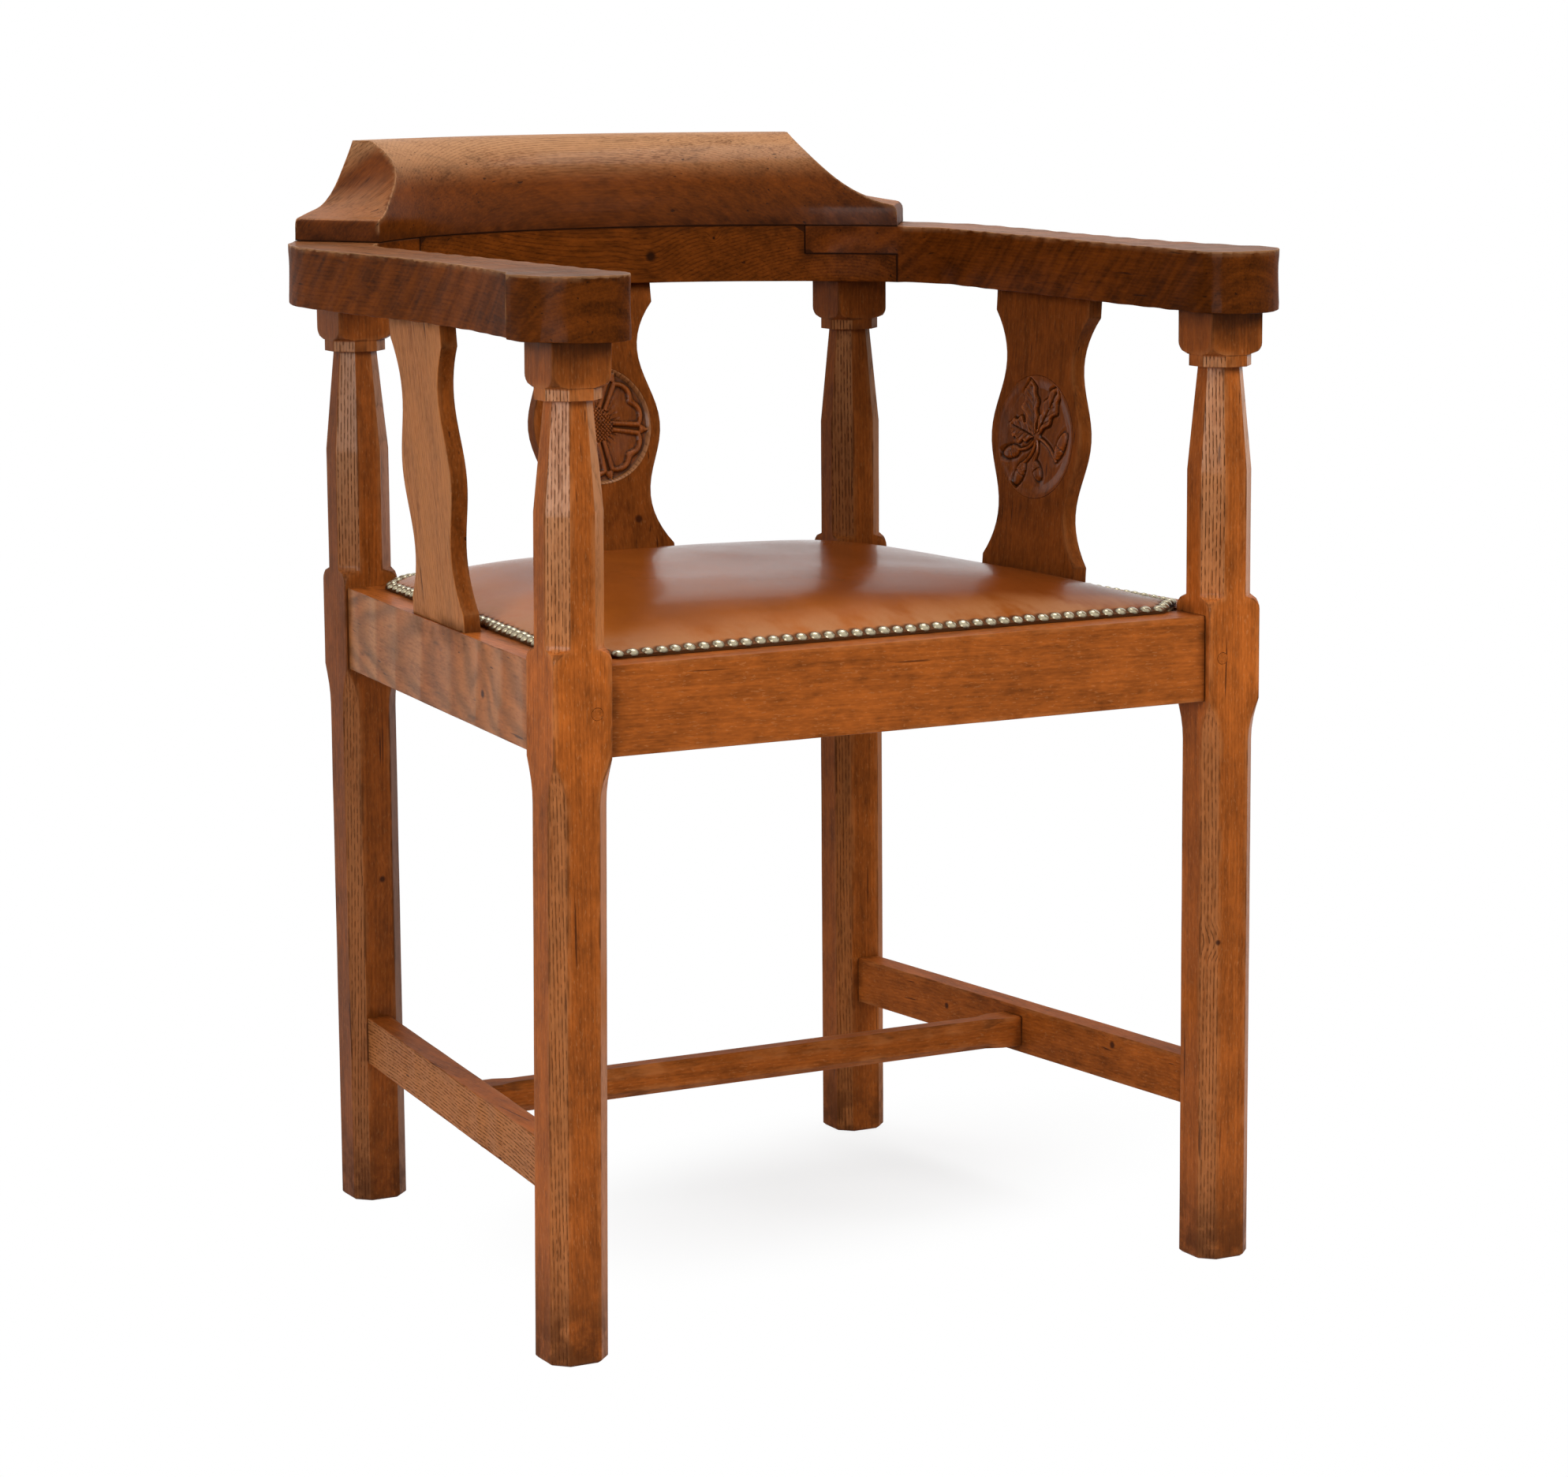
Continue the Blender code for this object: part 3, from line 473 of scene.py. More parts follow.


# along: the grain's axis, round: of the arrises, steps: of the mesh, heart: bearing of the tree's middle,
# rings: how boldly the years show, loops: also where they lie flat, wander and sweep: of the grain,
# soften: rounds of smoothing, worn: height over the underside from which the arrises are rubbed,
# sharp: degrees, the least fold that counts as an arris, tight: driven in, with no dirt or painted shade
# round it
plainTimber = {"heart": None, "rings": 0.5, "loops": False, "wander": 0.002, "sweep": 0.0, "soften": 0,
               "worn": -1.0, "sharp": 20.0, "tight": False}
timber = {
    "posts": {"along": 2, "round": 0.0008, "steps": (0.0055, 0.0055, 0.009), "heart": 135, "rings": 0.8},
    "longRails": {"along": 0, "round": 0.0009, "steps": (0.009, 0.006, 0.005), "heart": 90, "rings": 0.2},
    "sideRails": {"along": 1, "round": 0.0010, "steps": (0.006, 0.007, 0.005), "heart": 0, "rings": 0.75,
                  "wander": 0.009, "loops": True},
    "stretchers": {"along": 1, "round": 0.0009, "steps": (0.005, 0.007, 0.005), "heart": 80, "rings": 0.7},
    "crossBar": {"along": 0, "round": 0.0006, "steps": (0.009, 0.005, 0.005), "heart": 80, "rings": 0.6},
    "splats": {"along": 2, "round": 0.0007, "steps": (0.004, 0.004, 0.005), "heart": 45, "rings": 0.24},
    "arms": {"along": 1, "round": 0.0042, "steps": (0.006, 0.007, 0.006), "heart": 90, "rings": 0.6,
             "soften": 24, "worn": 0.008},
    "bow": {"along": 0, "round": 0.0024, "steps": (0.007, 0.007, 0.006), "heart": 60, "rings": 1.6,
            "soften": 24, "worn": 0.008, "wander": 0.006},
    "crest": {"along": 0, "round": 0.0012, "steps": (0.0055, 0.0055, 0.0045), "heart": 90, "rings": 0.30,
              "soften": 16, "worn": 0.006, "sweep": 2.0, "sharp": 40.0},
    "pins": {"along": 1, "round": 0.0003, "steps": (0.004, 0.004, 0.004), "tight": True},
    "dowels": {"along": 2, "round": 0.0003, "steps": (0.01, 0.01, 0.01)},
}
wear = {
    "joint": 0.0007,            # closer than this to another piece, an arris is part of a joint
    "square": 60.0,             # degrees, the folds eased there
    "ease": 0.00045,
    "rubGap": 0.003,            # no arris is rubbed this close to another piece
    "markStep": 0.003,
    "still": 0.0012,            # nothing is smoothed this close to another piece
    "clear": 2.2,               # or this many roundings from an arris
    "held": 0.0006,             # and nothing carved this close, or less up to the next
    "free": 0.004,
    "tilt": 1.6,                # degrees that a board may lie off the tree's line
    "pith": (0.05, 0.12),       # how far off the tree's middle lies
    "reach": 0.02,
    "wave": 0.00025,            # unevenness of hand-planed faces
}
grainFrames = {}                # how each piece's grain lies, for the carvings cut into it


def searchTree(points):
    tree = KDTree(max(1, len(points)))
    for i, point in enumerate(points or [Vector((9, 9, 9))]):
        tree.insert(point, i)
    tree.balance()
    return tree


def sunkRound(name):            # the round recess: its middle, its way out and its radius
    work = cadSolid(name)
    found = None
    for face in work.faces:
        middle = face.calc_center_median()
        reach = [(v.co - middle).length for v in face.verts]
        if len(reach) > 20 and max(reach) - min(reach) < 2e-4 and min(reach) > 0.02:
            found = middle.copy(), face.normal.copy(), min(reach)
    work.free()
    return found


def isFold(edge, least):
    return len(edge.link_faces) == 2 and edge.is_convex and edge.calc_face_angle() > radians(least)


def inJoint(edge, near):
    return near.find_nearest((edge.verts[0].co + edge.verts[1].co) / 2, wear["joint"])[0] is not None


def bevelEdges(work, edges, offset, segments):
    bmesh.ops.bevel(work, geom=edges, offset=offset, offset_type="OFFSET", segments=segments,
                    profile=0.5, affect="EDGES", clamp_overlap=True)


def marksAlong(edges):
    marks = []
    for edge in edges:
        a, b = (v.co.copy() for v in edge.verts)
        count = max(1, ceil((b - a).length / wear["markStep"]))
        marks += [a.lerp(b, i / count) for i in range(count + 1)]
    return marks


def rubbedMarks(name, marks, level, joined):    # over that level, clear of joints and of the sunk round
    worn = [mark for mark in marks if mark.z > level and joined.find_nearest(mark, wear["rubGap"])[0] is None]
    if "_splat" in name:
        middle, _, radius = sunkRound(name)
        worn = [mark for mark in worn if (mark - middle).length > radius + 0.005]
    return worn


def easedTimber(name, shape, near, joined, mould):      # the rounded solid, and where its arrises are rubbed
    work = cadSolid(name)
    bare = [edge for edge in work.edges if isFold(edge, shape["sharp"]) and not inJoint(edge, near)]
    marks = marksAlong(bare)
    if mould:
        marks = [mark + mould(mark) for mark in marks]
    worn = rubbedMarks(name, marks, Vector(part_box(name)[0]).z + shape["worn"], joined)
    bevelEdges(work, bare, shape["round"], 2)
    if not shape["tight"]:
        shut = [edge for edge in work.edges if isFold(edge, wear["square"]) and inJoint(edge, near)]
        bevelEdges(work, shut, wear["ease"], 1)
    for axis, step in enumerate(shape["steps"]):
        sliceUp(work, axis, step)
    if mould:
        for vertex in work.verts:
            vertex.co += mould(vertex.co)
    if shape["soften"]:
        tree = searchTree(marks)
        inner = [v for v in work.verts if tree.find(v.co)[2] > wear["clear"] * shape["round"]
                 and near.find_nearest(v.co, wear["still"])[0] is None]
        for i in range(shape["soften"]):
            bmesh.ops.smooth_vert(work, verts=inner, factor=0.5,
                                  use_axis_x=True, use_axis_y=True, use_axis_z=True)
    work.normal_update()
    return work, searchTree(worn)


def grainFrame(name, shape):    # how the piece lay in its tree
    draw = Random(name)
    low, high = (Vector(corner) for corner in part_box(name))
    turn = Matrix.Identity(3)
    for axis in "XYZ":
        turn = turn @ Matrix.Rotation(radians(draw.uniform(-wear["tilt"], wear["tilt"])), 3, axis)
    bearing, distance = draw.uniform(0, 2 * pi), draw.uniform(*wear["pith"])
    if shape["heart"] is not None:
        bearing = radians(shape["heart"] + draw.uniform(-9, 9))
    pith = (distance * cos(bearing), distance * sin(bearing), draw.uniform(2, 9))
    return (low + high) / 2, shape["along"], turn, pith


def dress(name, material, slotName, kind, carve=None, tone=None, rub=None, mould=None):
    shape = {**plainTimber, **timber[kind]}
    near, joined = neighbours(name), neighbours(name, False)
    work, wornTree = easedTimber(name, shape, near, joined, mould)
    middle, along, turn, pith = grainFrames[name] = grainFrame(name, shape)
    grain, arris, seam, tones, paleShares, years, shifts = [], [], [], [], [], [], []
    for vertex in work.verts:
        place = vertex.co
        gap = near.find_nearest(place, wear["reach"])[3]
        gap = wear["reach"] if gap is None else gap
        run, across, deep = grainAt(place, middle, along, turn, pith)
        sway = shape["wander"] * noise.noise(Vector((run * 5, across * 16, deep * 16)))
        cut = 0.7 * carve(place, vertex.normal) if carve else 0.0       # deeper wood shows its own rings
        grain += (run, across + sway + cut, deep + sway * 0.6 + shape["sweep"] * place.x ** 2)
        arris.append(min(wear["reach"], wornTree.find(place)[2]))
        # distance to joined pieces, for their dirt and painted shade
        jointGap = joined.find_nearest(place, wear["reach"])[3]
        seam.append(wear["reach"] if jointGap is None or shape["tight"] else jointGap)
        facing = grainAt(vertex.normal, Vector(), along, turn, (0, 0, 0))
        flat = abs(facing[1] * across + facing[2] * deep) / hypot(across, deep)
        faint = 0.0 if shape["loops"] else 0.75 * softStep(flat, 0.65, 0.95)    # years that lie flat
        years.append(shape["rings"] * (1 - faint))
        tones.append(tone(place, vertex.normal) if tone else 1.0)
        paleShares.append(rub(place, vertex.normal) if rub else 0.0)
        shift = wear["wave"] * (noise.noise(place * 23 + Vector(pith)) - 1) * 0.5
        if carve:
            shift += carve(place, vertex.normal)
        shifts.append(vertex.normal * shift * min(1, max(0, gap - wear["held"]) / wear["free"]))
    for vertex, shift in zip(work.verts, shifts):
        vertex.co += shift
    bmesh.ops.triangulate(work, faces=[f for f in work.faces if len(f.verts) > 4])
    piece = addPiece(name + "_timber", work, material, slotName, 30, True)
    work.free()
    setFields(piece.data, {"grain": grain, "arris": arris, "seam": seam, "toneAndPaintedLight": tones, "wearAndPaintedLight": paleShares,
                           "rings": years})
    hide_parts(name)


toneAndPaintedLight = {
    "block": (0.94, 0.30),      # the front posts, and how much lighter their blocks are
    "blockFoot": (0.36, 0.42),
    "blockHead": (0.52, 0.47),
    "capital": ((0.30, 0.636, 0.645), (0.30, 0.652, 0.669)),        # darker by this between these heights: painted shade under the arm, with stain
    "backColumn": 0.60,         # the back posts over the seat, against 1 for the front: painted shade, partly darker wood
    "backLeg": 0.72,
    "facet": (0.42, 0.86),      # pale wood and painted sheen on the facets, at the foot and high on the columns
    "facetTurn": (0.50, 0.64),  # which way they face
    "facetRise": (0.42, 0.60),
    "facetEnd": (0.6415, 0.6385),
    "crossBar": 0.82,
    "sideStretcher": 0.88,
    "paddle": 0.72,             # arms' ends, darker by painted shade
    # inner faces of the splats darker: painted shade, partly darker wood
    "splatInside": {"back": 0.56, "left": 0.57, "right": 0.64},
    "splatEdge": 0.50,
    "seatLevel": 0.455,
}


def frontPostTone(place, normal):
    plain, lighter = toneAndPaintedLight["block"]
    inBlock = softStep(place.z, *toneAndPaintedLight["blockFoot"]) * softStep(place.z, *toneAndPaintedLight["blockHead"])
    # the capital darker under the arm: painted shade, with stain
    dark = sum(share * softStep(place.z, low, high) for share, low, high in toneAndPaintedLight["capital"])
    return (plain + lighter * inBlock) * (1 - dark)


def facetWearAndSheen(place, normal):    # the planed-off corners are paler than the faces: pale wood, and painted sheen high on the columns
    bare = partWay(*toneAndPaintedLight["facet"], softStep(place.z, *toneAndPaintedLight["facetRise"]))
    bare *= softStep(place.z, *toneAndPaintedLight["facetEnd"])
    return bare * softStep(min(abs(normal.x), abs(normal.y)), *toneAndPaintedLight["facetTurn"])


def backPostTone(place, normal):
    # darker over the seat: painted shade, partly darker wood
    share = softStep(place.z, toneAndPaintedLight["seatLevel"] - 0.02, toneAndPaintedLight["seatLevel"] + 0.03)
    return partWay(toneAndPaintedLight["backLeg"], toneAndPaintedLight["backColumn"], share)


def evenTone(key):
    return lambda place, normal: toneAndPaintedLight[key]


def splatTone(side, outward):
    def tone(place, normal):
        facing = normal.dot(Vector(outward))
        if facing > 0.5:
            return 1.0
        # inner faces darker as painted shade, partly darker wood
        return toneAndPaintedLight["splatInside"][side] if facing < -0.5 else toneAndPaintedLight["splatEdge"]
    return tone


dulled = ("back_right_post", "back_splat", "right_splat", "left_splat", "right_stretcher", "left_stretcher",
          "cross_stretcher", "back_seat_rail")
leftSheen = {"left_splat": 0.66, "left_stretcher": 0.62}         # painted sheen on the left-facing outer faces, partly paler wood


def leftFaceSheen(share):
    # paler where the face looks left: painted sheen
    return lambda place, normal: share * softStep(-normal.x, 0.6, 0.9)


timbers = {}
for side in ("left", "right"):
    timbers[f"front_{side}_post"] = {"kind": "posts", "tone": frontPostTone, "rub": facetWearAndSheen}
    timbers[f"back_{side}_post"] = {"kind": "posts", "tone": backPostTone, "rub": facetWearAndSheen}
    timbers[f"{side}_seat_rail"] = {"kind": "sideRails"}
    timbers[f"{side}_stretcher"] = {"kind": "stretchers", "tone": evenTone("sideStretcher")}
for end in ("front", "back"):
    timbers[f"{end}_seat_rail"] = {"kind": "longRails"}
timbers["cross_stretcher"] = {"kind": "crossBar", "tone": evenTone("crossBar")}
for side, outward in {"back": (0, 1, 0), "left": (-1, 0, 0), "right": (1, 0, 0)}.items():
    timbers[f"{side}_splat"] = {"kind": "splats", "tone": splatTone(side, outward)}
for name in ("left_seat_rail", "left_stretcher"):
    timbers[name]["carve"] = adzed
for name, share in leftSheen.items():
    timbers[name]["rub"] = leftFaceSheen(share)
timbers["left_seat_rail"]["rub"] = adzeSheen
for name in nodes:
    if name.endswith("_peg"):
        timbers[name] = {"kind": "pins"}
    if "dowel" in name:
        timbers[name] = {"kind": "dowels"}
for name, habit in timbers.items():
    finish = unpolishedOak if name in dulled else loopedOak if name == "left_seat_rail" else oak
    dress(name, finish, "oak", **habit)
print("posts, rails, stretchers and splats dressed")

arms = {
    "depth": 0.0007,            # of the ripples
    "pitch": 0.034,
    "lean": 0.9,
    "rub": 0.22,                # pale wood and painted sheen on the tops, which face this far up
    "up": (0.55, 0.95),
    "paddle": (0.16, 0.22),     # where the ends darken with painted shade, towards the front
}


def armRipples(place, normal):  # hand-worked, wavy faces
    run = place.y / arms["pitch"] + arms["lean"] * place.z / arms["pitch"] + 0.6 * noise.noise(place * 9)
    return -arms["depth"] * (0.5 + 0.5 * sin(2 * pi * run)) * (0.6 + 0.6 * noise.noise(place * 14))


def armWearAndSheen(place, normal):
    # pale wood on the tops: wear and painted sheen
    return arms["rub"] * softStep(normal.z, *arms["up"])


def armTone(place, normal):
    return partWay(1.0, toneAndPaintedLight["paddle"], softStep(-place.y, *arms["paddle"]))


crestWearAndLight = {
    "top": 0.90,                # pale wood and painted sheen on the top, over these heights
    "rise": (0.744, 0.780),
    "foot": 0.74,               # tone of the dark foot, and of the scooped ends, lighter as painted light
    "footRise": (0.728, 0.752),
    "ends": 1.25,
    "scoop": 0.24,              # painted reflection as pale wood where the ends lie flat, and how much lighter they are painted
    "flat": 0.1,
    "endX": (0.25, 0.35),       # which way the ends face
    "endY": (-0.34, -0.27),
    "endZ": (0.20, 0.45),
    "flatZ": (0.64, 0.90),
    "toeZ": (0.88, 0.92),       # and their toes, under this height
    "toeTop": (0.750, 0.744),
}
crestHollow = {                 # the shoulders are hollowed past the plain sweep, most at the back
    "heights": (0.7278, 0.7808),
    "centre": -0.160,
    "bearings": (23.9, 35.9),   # of the shoulder's top and foot, in degrees
    "sweep": 1.8,
    "reach": (0.38, 0.44),      # from the centre to the front and to the back of the crest
    "feather": (9, 1),          # degrees inside the shoulder's line
    "depth": (0.002, 0.0068),
    "drop": 0.005,              # of the toe's back edge, over these shares of the height
    "toeRise": (0.0, 0.27),
    "toeEnd": (0.75, 0.3),
}


def crestMould(place):
    look = crestHollow
    low, high = look["heights"]
    share = min(1, max(0, (place.z - low) / (high - low)))
    ray = place.to_2d() - Vector((0, look["centre"]))
    top, foot = look["bearings"]
    edge = partWay(foot, top, share ** (1 / look["sweep"]))
    near = softStep(degrees(atan2(abs(ray.x), ray.y)), *(edge - inside for inside in look["feather"]))
    toBack = softStep(ray.length, *look["reach"])
    depth = partWay(*look["depth"], toBack)
    inward = Vector((-ray.y, ray.x, 0) if ray.x > 0 else (ray.y, -ray.x, 0)).normalized()
    toe = softStep(share, *look["toeRise"]) * softStep(share, *look["toeEnd"]) * toBack
    return (inward * depth * sin(pi * share ** 0.8) - Vector((0, 0, look["drop"] * toe))) * near


def scooped(place, normal):     # the hollowed ends, palest where they lie flat, as painted reflection
    look = crestWearAndLight
    toe = softStep(normal.z, *look["toeZ"]) * softStep(place.z, *look["toeTop"])
    inEnd = max(softStep(abs(normal.x), *look["endX"]), toe) * softStep(normal.y, *look["endY"])
    inEnd *= softStep(normal.z, *look["endZ"])
    return inEnd, inEnd * softStep(normal.z, *look["flatZ"])


def crestWearAndSheen(place, normal):
    inEnd, flat = scooped(place, normal)
    # pale top: wear and painted sheen; flat scoops: painted reflection
    top = crestWearAndLight["top"] * softStep(place.z, *crestWearAndLight["rise"])
    return top * (1 - inEnd) + crestWearAndLight["scoop"] * flat


def crestTone(place, normal):
    inEnd, flat = scooped(place, normal)
    front = partWay(crestWearAndLight["foot"], 1, softStep(place.z, *crestWearAndLight["footRise"]))
    # the scooped ends lighter: painted light
    return partWay(front, crestWearAndLight["ends"], inEnd) + crestWearAndLight["flat"] * flat


for side in ("left", "right"):
    dress(f"{side}_arm", darkenedOak, "dark_oak", "arms", carve=armRipples, tone=armTone, rub=armWearAndSheen)
dress("back_arm_rail", curlyOak, "dark_oak", "bow")
dress("crest_rail", polishedOak, "dark_oak", "crest", tone=crestTone, rub=crestWearAndSheen, mould=crestMould)
print("arms, bow and crest dressed")


carving = {
    "rings": 76,
    "around": 288,
    "toneAndPaintedLight": {"back": 0.56, "left": 0.57, "right": 0.62},
    "depth": 3.0,               # mm, as the sunk ground in the splats
    "years": 0.3,
}
rose = {                        # mm and degrees
    "turn": 29.0,
    "boss": 13.0,
    "petal": 34.2,              # half of its angle
    "reach": 40.5,
    "corner": (5.0, 34.0),      # how far a petal's corners are rounded off, and where
    "notch": (2.6, 8.0),        # dip in the middle of its edge, and its width
    "rim": 4.2,                 # rounded border of a petal
    "rimRise": 2.5,
    "veins": (-0.24, 0.0, 0.24),
    "sepal": (36.0, 44.0, 4.2), # from, to, and half its width
    "hatch": 3.1,
    "wall": 4.0,                # run of the sloping wall round the ground
    # painted highlight round the sloping wall
    "wallHighlight": 0.9,
    "shadow": 0.72,             # painted shade: how much darker the cut corners are
    "shine": 0.35,              # and painted highlight: how much lighter the edges
}
sprig = {                       # in shares of the radius
    "leaves": (                 # from stalk to tip, then the half widths to left and right
        ((-0.05, 0.06), (-0.19, 0.90), 0.30, 0.15),
        ((0.05, 0.08), (0.52, 0.84), 0.17, 0.22),
        ((-0.10, 0.02), (-0.70, 0.16), 0.24, 0.22),
    ),
    "acorns": (                 # from the cup to the nut's tip
        ((0.52, -0.34), (0.76, 0.12)),
        ((-0.04, -0.40), (0.14, -0.70)),
        ((-0.30, -0.44), (-0.52, -0.82)),
        ((-0.44, -0.24), (-0.86, -0.34)),
    ),
    "leafRise": 2.5,            # mm, and how far its middle, rib and veins are cut down
    "leafDish": 0.9,
    "rib": 1.3,
    "vein": 0.45,
    "nut": 0.105,               # half width
    "stalk": 0.022,
    "bow": 0.06,                # bend of the stalks
    "ground": 1.0,              # mm over the sunk ground, cut down to it round each shape
    "moat": 0.070,
    "wall": 15.0,
    "wallHighlight": 0.0,
    # painted shade and highlight, as for the rose
    "shadow": 0.88,
    "shine": 0.7,
}


def roseHeight(x, y, radius):
    r, bearing = hypot(x, y), atan2(y, x)
    fifth = 2 * pi / 5
    turned = bearing - radians(rose["turn"])
    off = turned - fifth * floor(turned / fifth + 0.5)
    height = 0.15
    side = (radians(rose["petal"]) - abs(off)) * r
    (dip, dipWide), (corner, cornerAt) = rose["notch"], rose["corner"]
    outer = rose["reach"] - dip * exp(-((off / radians(dipWide)) ** 2)) - r
    outer -= corner * (abs(off) / radians(cornerAt)) ** 4
    inside = min(side, outer)
    if inside > 0 and r > rose["boss"] - 1:
        rim = rose["rim"] * (1 + 0.4 * exp(-((off / radians(9)) ** 2)) * (outer < side))
        if inside < rim:
            height = max(0.3, rose["rimRise"] * sqrt(max(0, 1 - ((inside - rim * 0.5) / (rim * 0.5)) ** 2)))
        else:
            height = 0.35 + 0.9 * softStep(r, 32, rose["boss"] + 2)
        for cut in rose["veins"]:
            if abs(off - cut) * r < 0.55 and inside > rim:
                height -= 0.5 * softStep(r, rose["boss"] + 9, rose["boss"] + 4)
    across = r * abs(abs(off) - fifth / 2)
    start, tip, wide = rose["sepal"]
    width = wide * (tip - r) / (tip - start) if r > start else 0.0
    if r < tip and across < width:
        height = max(height, 2.4 - 1.1 * across / width)
    if r < rose["boss"] + 0.5:
        height = 1.1 + 1.6 * sqrt(max(0, 1 - (r / (rose["boss"] + 0.8)) ** 2))
        lines = [abs(((x + sign * y) / rose["hatch"]) % 1 - 0.5) for sign in (-1, 1)]
        height -= 0.9 * max(softStep(line, 0.36, 0.47) for line in lines)
    return max(height, carving["depth"] * softStep(r, radius - rose["wall"], radius))


def alongLine(x, y, start, end):        # how far along and beside a line, and its length
    (ax, ay), (bx, by) = start, end
    length = hypot(bx - ax, by - ay)
    ux, uy = (bx - ax) / length, (by - ay) / length
    return (x - ax) * ux + (y - ay) * uy, (y - ay) * ux - (x - ax) * uy, length


def leafGap(x, y, leaf):        # how far inside the leaf's edge, its share of the length, the way to its rib
    start, end, left, right = leaf
    along, across, length = alongLine(x, y, start, end)
    t = min(1, max(0, along / length))
    half = (left if across > 0 else right) * sin(pi * (0.06 + 0.90 * t ** 1.25)) ** 0.8
    half *= 0.84 + 0.16 * cos(2 * pi * 3.2 * t + (2.0 if across > 0 else 0.6))
    over = max(0, along - length, -along)
    return half - abs(across) - over, t, abs(across)


def acornGap(x, y, acorn):      # the same for an acorn, with the share of the way from cup to tip
    along, across, length = alongLine(x, y, *acorn)
    p, q = (along / length - 0.5) / 0.5, across / sprig["nut"]
    return (1 - hypot(p, q)) * sprig["nut"], along / length, q


def stalkGap(x, y, acorn):
    along, across, length = alongLine(x, y, (0, 0), acorn[0])
    if not 0 < along < length + 0.04:
        return -1.0
    return sprig["stalk"] - abs(across - sprig["bow"] * sin(pi * along / length))


def sprigHeight(x, y, radius):
    x, y = x / radius, y / radius
    height, nearest = 0.0, 1.0
    for leaf in sprig["leaves"]:
        gap, t, across = leafGap(x, y, leaf)
        nearest = min(nearest, abs(gap))
        if gap > 0:
            rise = sprig["leafRise"] - sprig["leafDish"] * softStep(gap, 0.02, 0.16)
            rise -= sprig["rib"] * softStep(across, 0.022, 0.006) * softStep(t, 0.97, 0.85)
            side = abs((t * 6 - across * 9) % 1 - 0.5)
            rise -= sprig["vein"] * softStep(side, 0.36, 0.48)
            height = max(height, rise)
    for acorn in sprig["acorns"]:
        gap, t, q = acornGap(x, y, acorn)
        nearest = min(nearest, abs(gap))
        if gap > 0:
            dome = sqrt(max(0, 1 - (1 - gap / sprig["nut"]) ** 2))
            rise = 0.6 + 2.3 * dome
            if t < 0.42:                # the cup, hatched, a little fuller than the nut
                hatch = max(softStep(abs((t * 9 + sign * q * 1.6) % 1 - 0.5), 0.3, 0.5) for sign in (-1, 1))
                rise = 0.9 + 2.1 * dome - 0.4 * hatch
            elif t < 0.48:
                rise -= 0.8
            height = max(height, rise)
        gap = stalkGap(x, y, acorn)
        nearest = min(nearest, abs(gap))
        if gap > 0:
            height = max(height, 1.2 + 0.8 * gap / sprig["stalk"])
    knot = 1 - hypot(x, y) / 0.10
    if knot > 0:
        height = max(height, 2.6 * sqrt(knot))
    if height == 0.0:
        bowl = carving["depth"] * softStep(hypot(x, y) * radius, radius - sprig["wall"], radius)
        height = max(bowl, sprig["ground"]) * (0.06 + 0.94 * softStep(nearest, 0.0, sprig["moat"]))
    return min(height, carving["depth"] - 0.05) if hypot(x, y) < 0.98 else carving["depth"] * hypot(x, y) ** 2


def addCarving(name, heightAt, material, look):
    middle, out, radius = sunkRound(name)
    up = (Vector((0, 0, 1)) - out * out.z).normalized()
    right = up.cross(out)
    radius -= 0.0001
    work = bmesh.new()
    frameOf = grainFrames[name]
    grain, arris, seam, tones, paleShares = [], [], [], [], []
    toneHere = carving["toneAndPaintedLight"][name.split("_")[0]]

    rings, around = carving["rings"], carving["around"]
    turns = circle(around)
    levels = [[heightAt(0, 0, radius * 1000) / 1000] * around]
    for i in range(1, rings + 1):
        r = radius * i / rings
        level = []
        for c, s in turns:
            ground = 0.00006 * (noise.noise(Vector((r * c * 300, r * s * 300, 5))) - 1)
            level.append(max(0.00002, heightAt(r * c * 1000, r * s * 1000, radius * 1000) / 1000 + ground))
        levels.append(level)

    def hollow(i, k):           # how far a place lies below what is round it
        total = 0.0
        for reach in (0.0011, 0.0022):
            rise = max(1, round(reach / radius * rings))
            sweep = max(1, round(reach * around / (2 * pi * radius * max(i, 1) / rings)))
            for a, b in ((rise, 0), (-rise, 0), (0, sweep), (0, -sweep)):
                total += levels[min(rings, abs(i + a))][(k + b) % around]
        return total / 8 - levels[i][k]

    def addVertex(x, y, height, sunk):
        place = middle + right * x + up * y + out * height
        grain.extend(grainAt(place, *frameOf))
        # pale arris line on ridges: painted highlight and wear; the joints' dark line in hollows: painted
        # shade
        arris.append(0.0006 + 0.02 * softStep(sunk, -0.0007, -0.0002))
        seam.append(0.0003 + 0.02 * softStep(sunk, 0.0007, 0.0001))
        # painted shade in hollows and painted highlight on raised edges
        dark, light = softStep(sunk, 0.00005, 0.0006), softStep(-sunk, 0.0001, 0.0006)
        tones.append(toneHere * (1 - look["shadow"] * dark + look["shine"] * light))
        # painted highlight as pale wood round the wall
        paleShares.append(look["wallHighlight"] * softStep(hypot(x, y), radius * 0.90, radius * 0.96))
        return work.verts.new(place)

    rows = []
    for i in range(1, rings + 1):
        r = radius * i / rings
        rows.append([addVertex(r * c, r * s, levels[i][k], hollow(i, k)) for k, (c, s) in enumerate(turns)])
    tip = addVertex(0, 0, levels[0][0], 0.0)
    skirt = [addVertex(radius * c, radius * s, 0.0, 0.0) for c, s in turns]
    faceRings(work, tip, rows + [skirt])
    work.faces.new(skirt[::-1])
    piece = addPiece(name.replace("splat", "carving"), work, material, "oak", 40)
    work.free()
    setFields(piece.data, {"grain": grain, "arris": arris, "seam": seam, "toneAndPaintedLight": tones, "wearAndPaintedLight": paleShares,
                           "rings": [carving["years"]] * len(tones)})


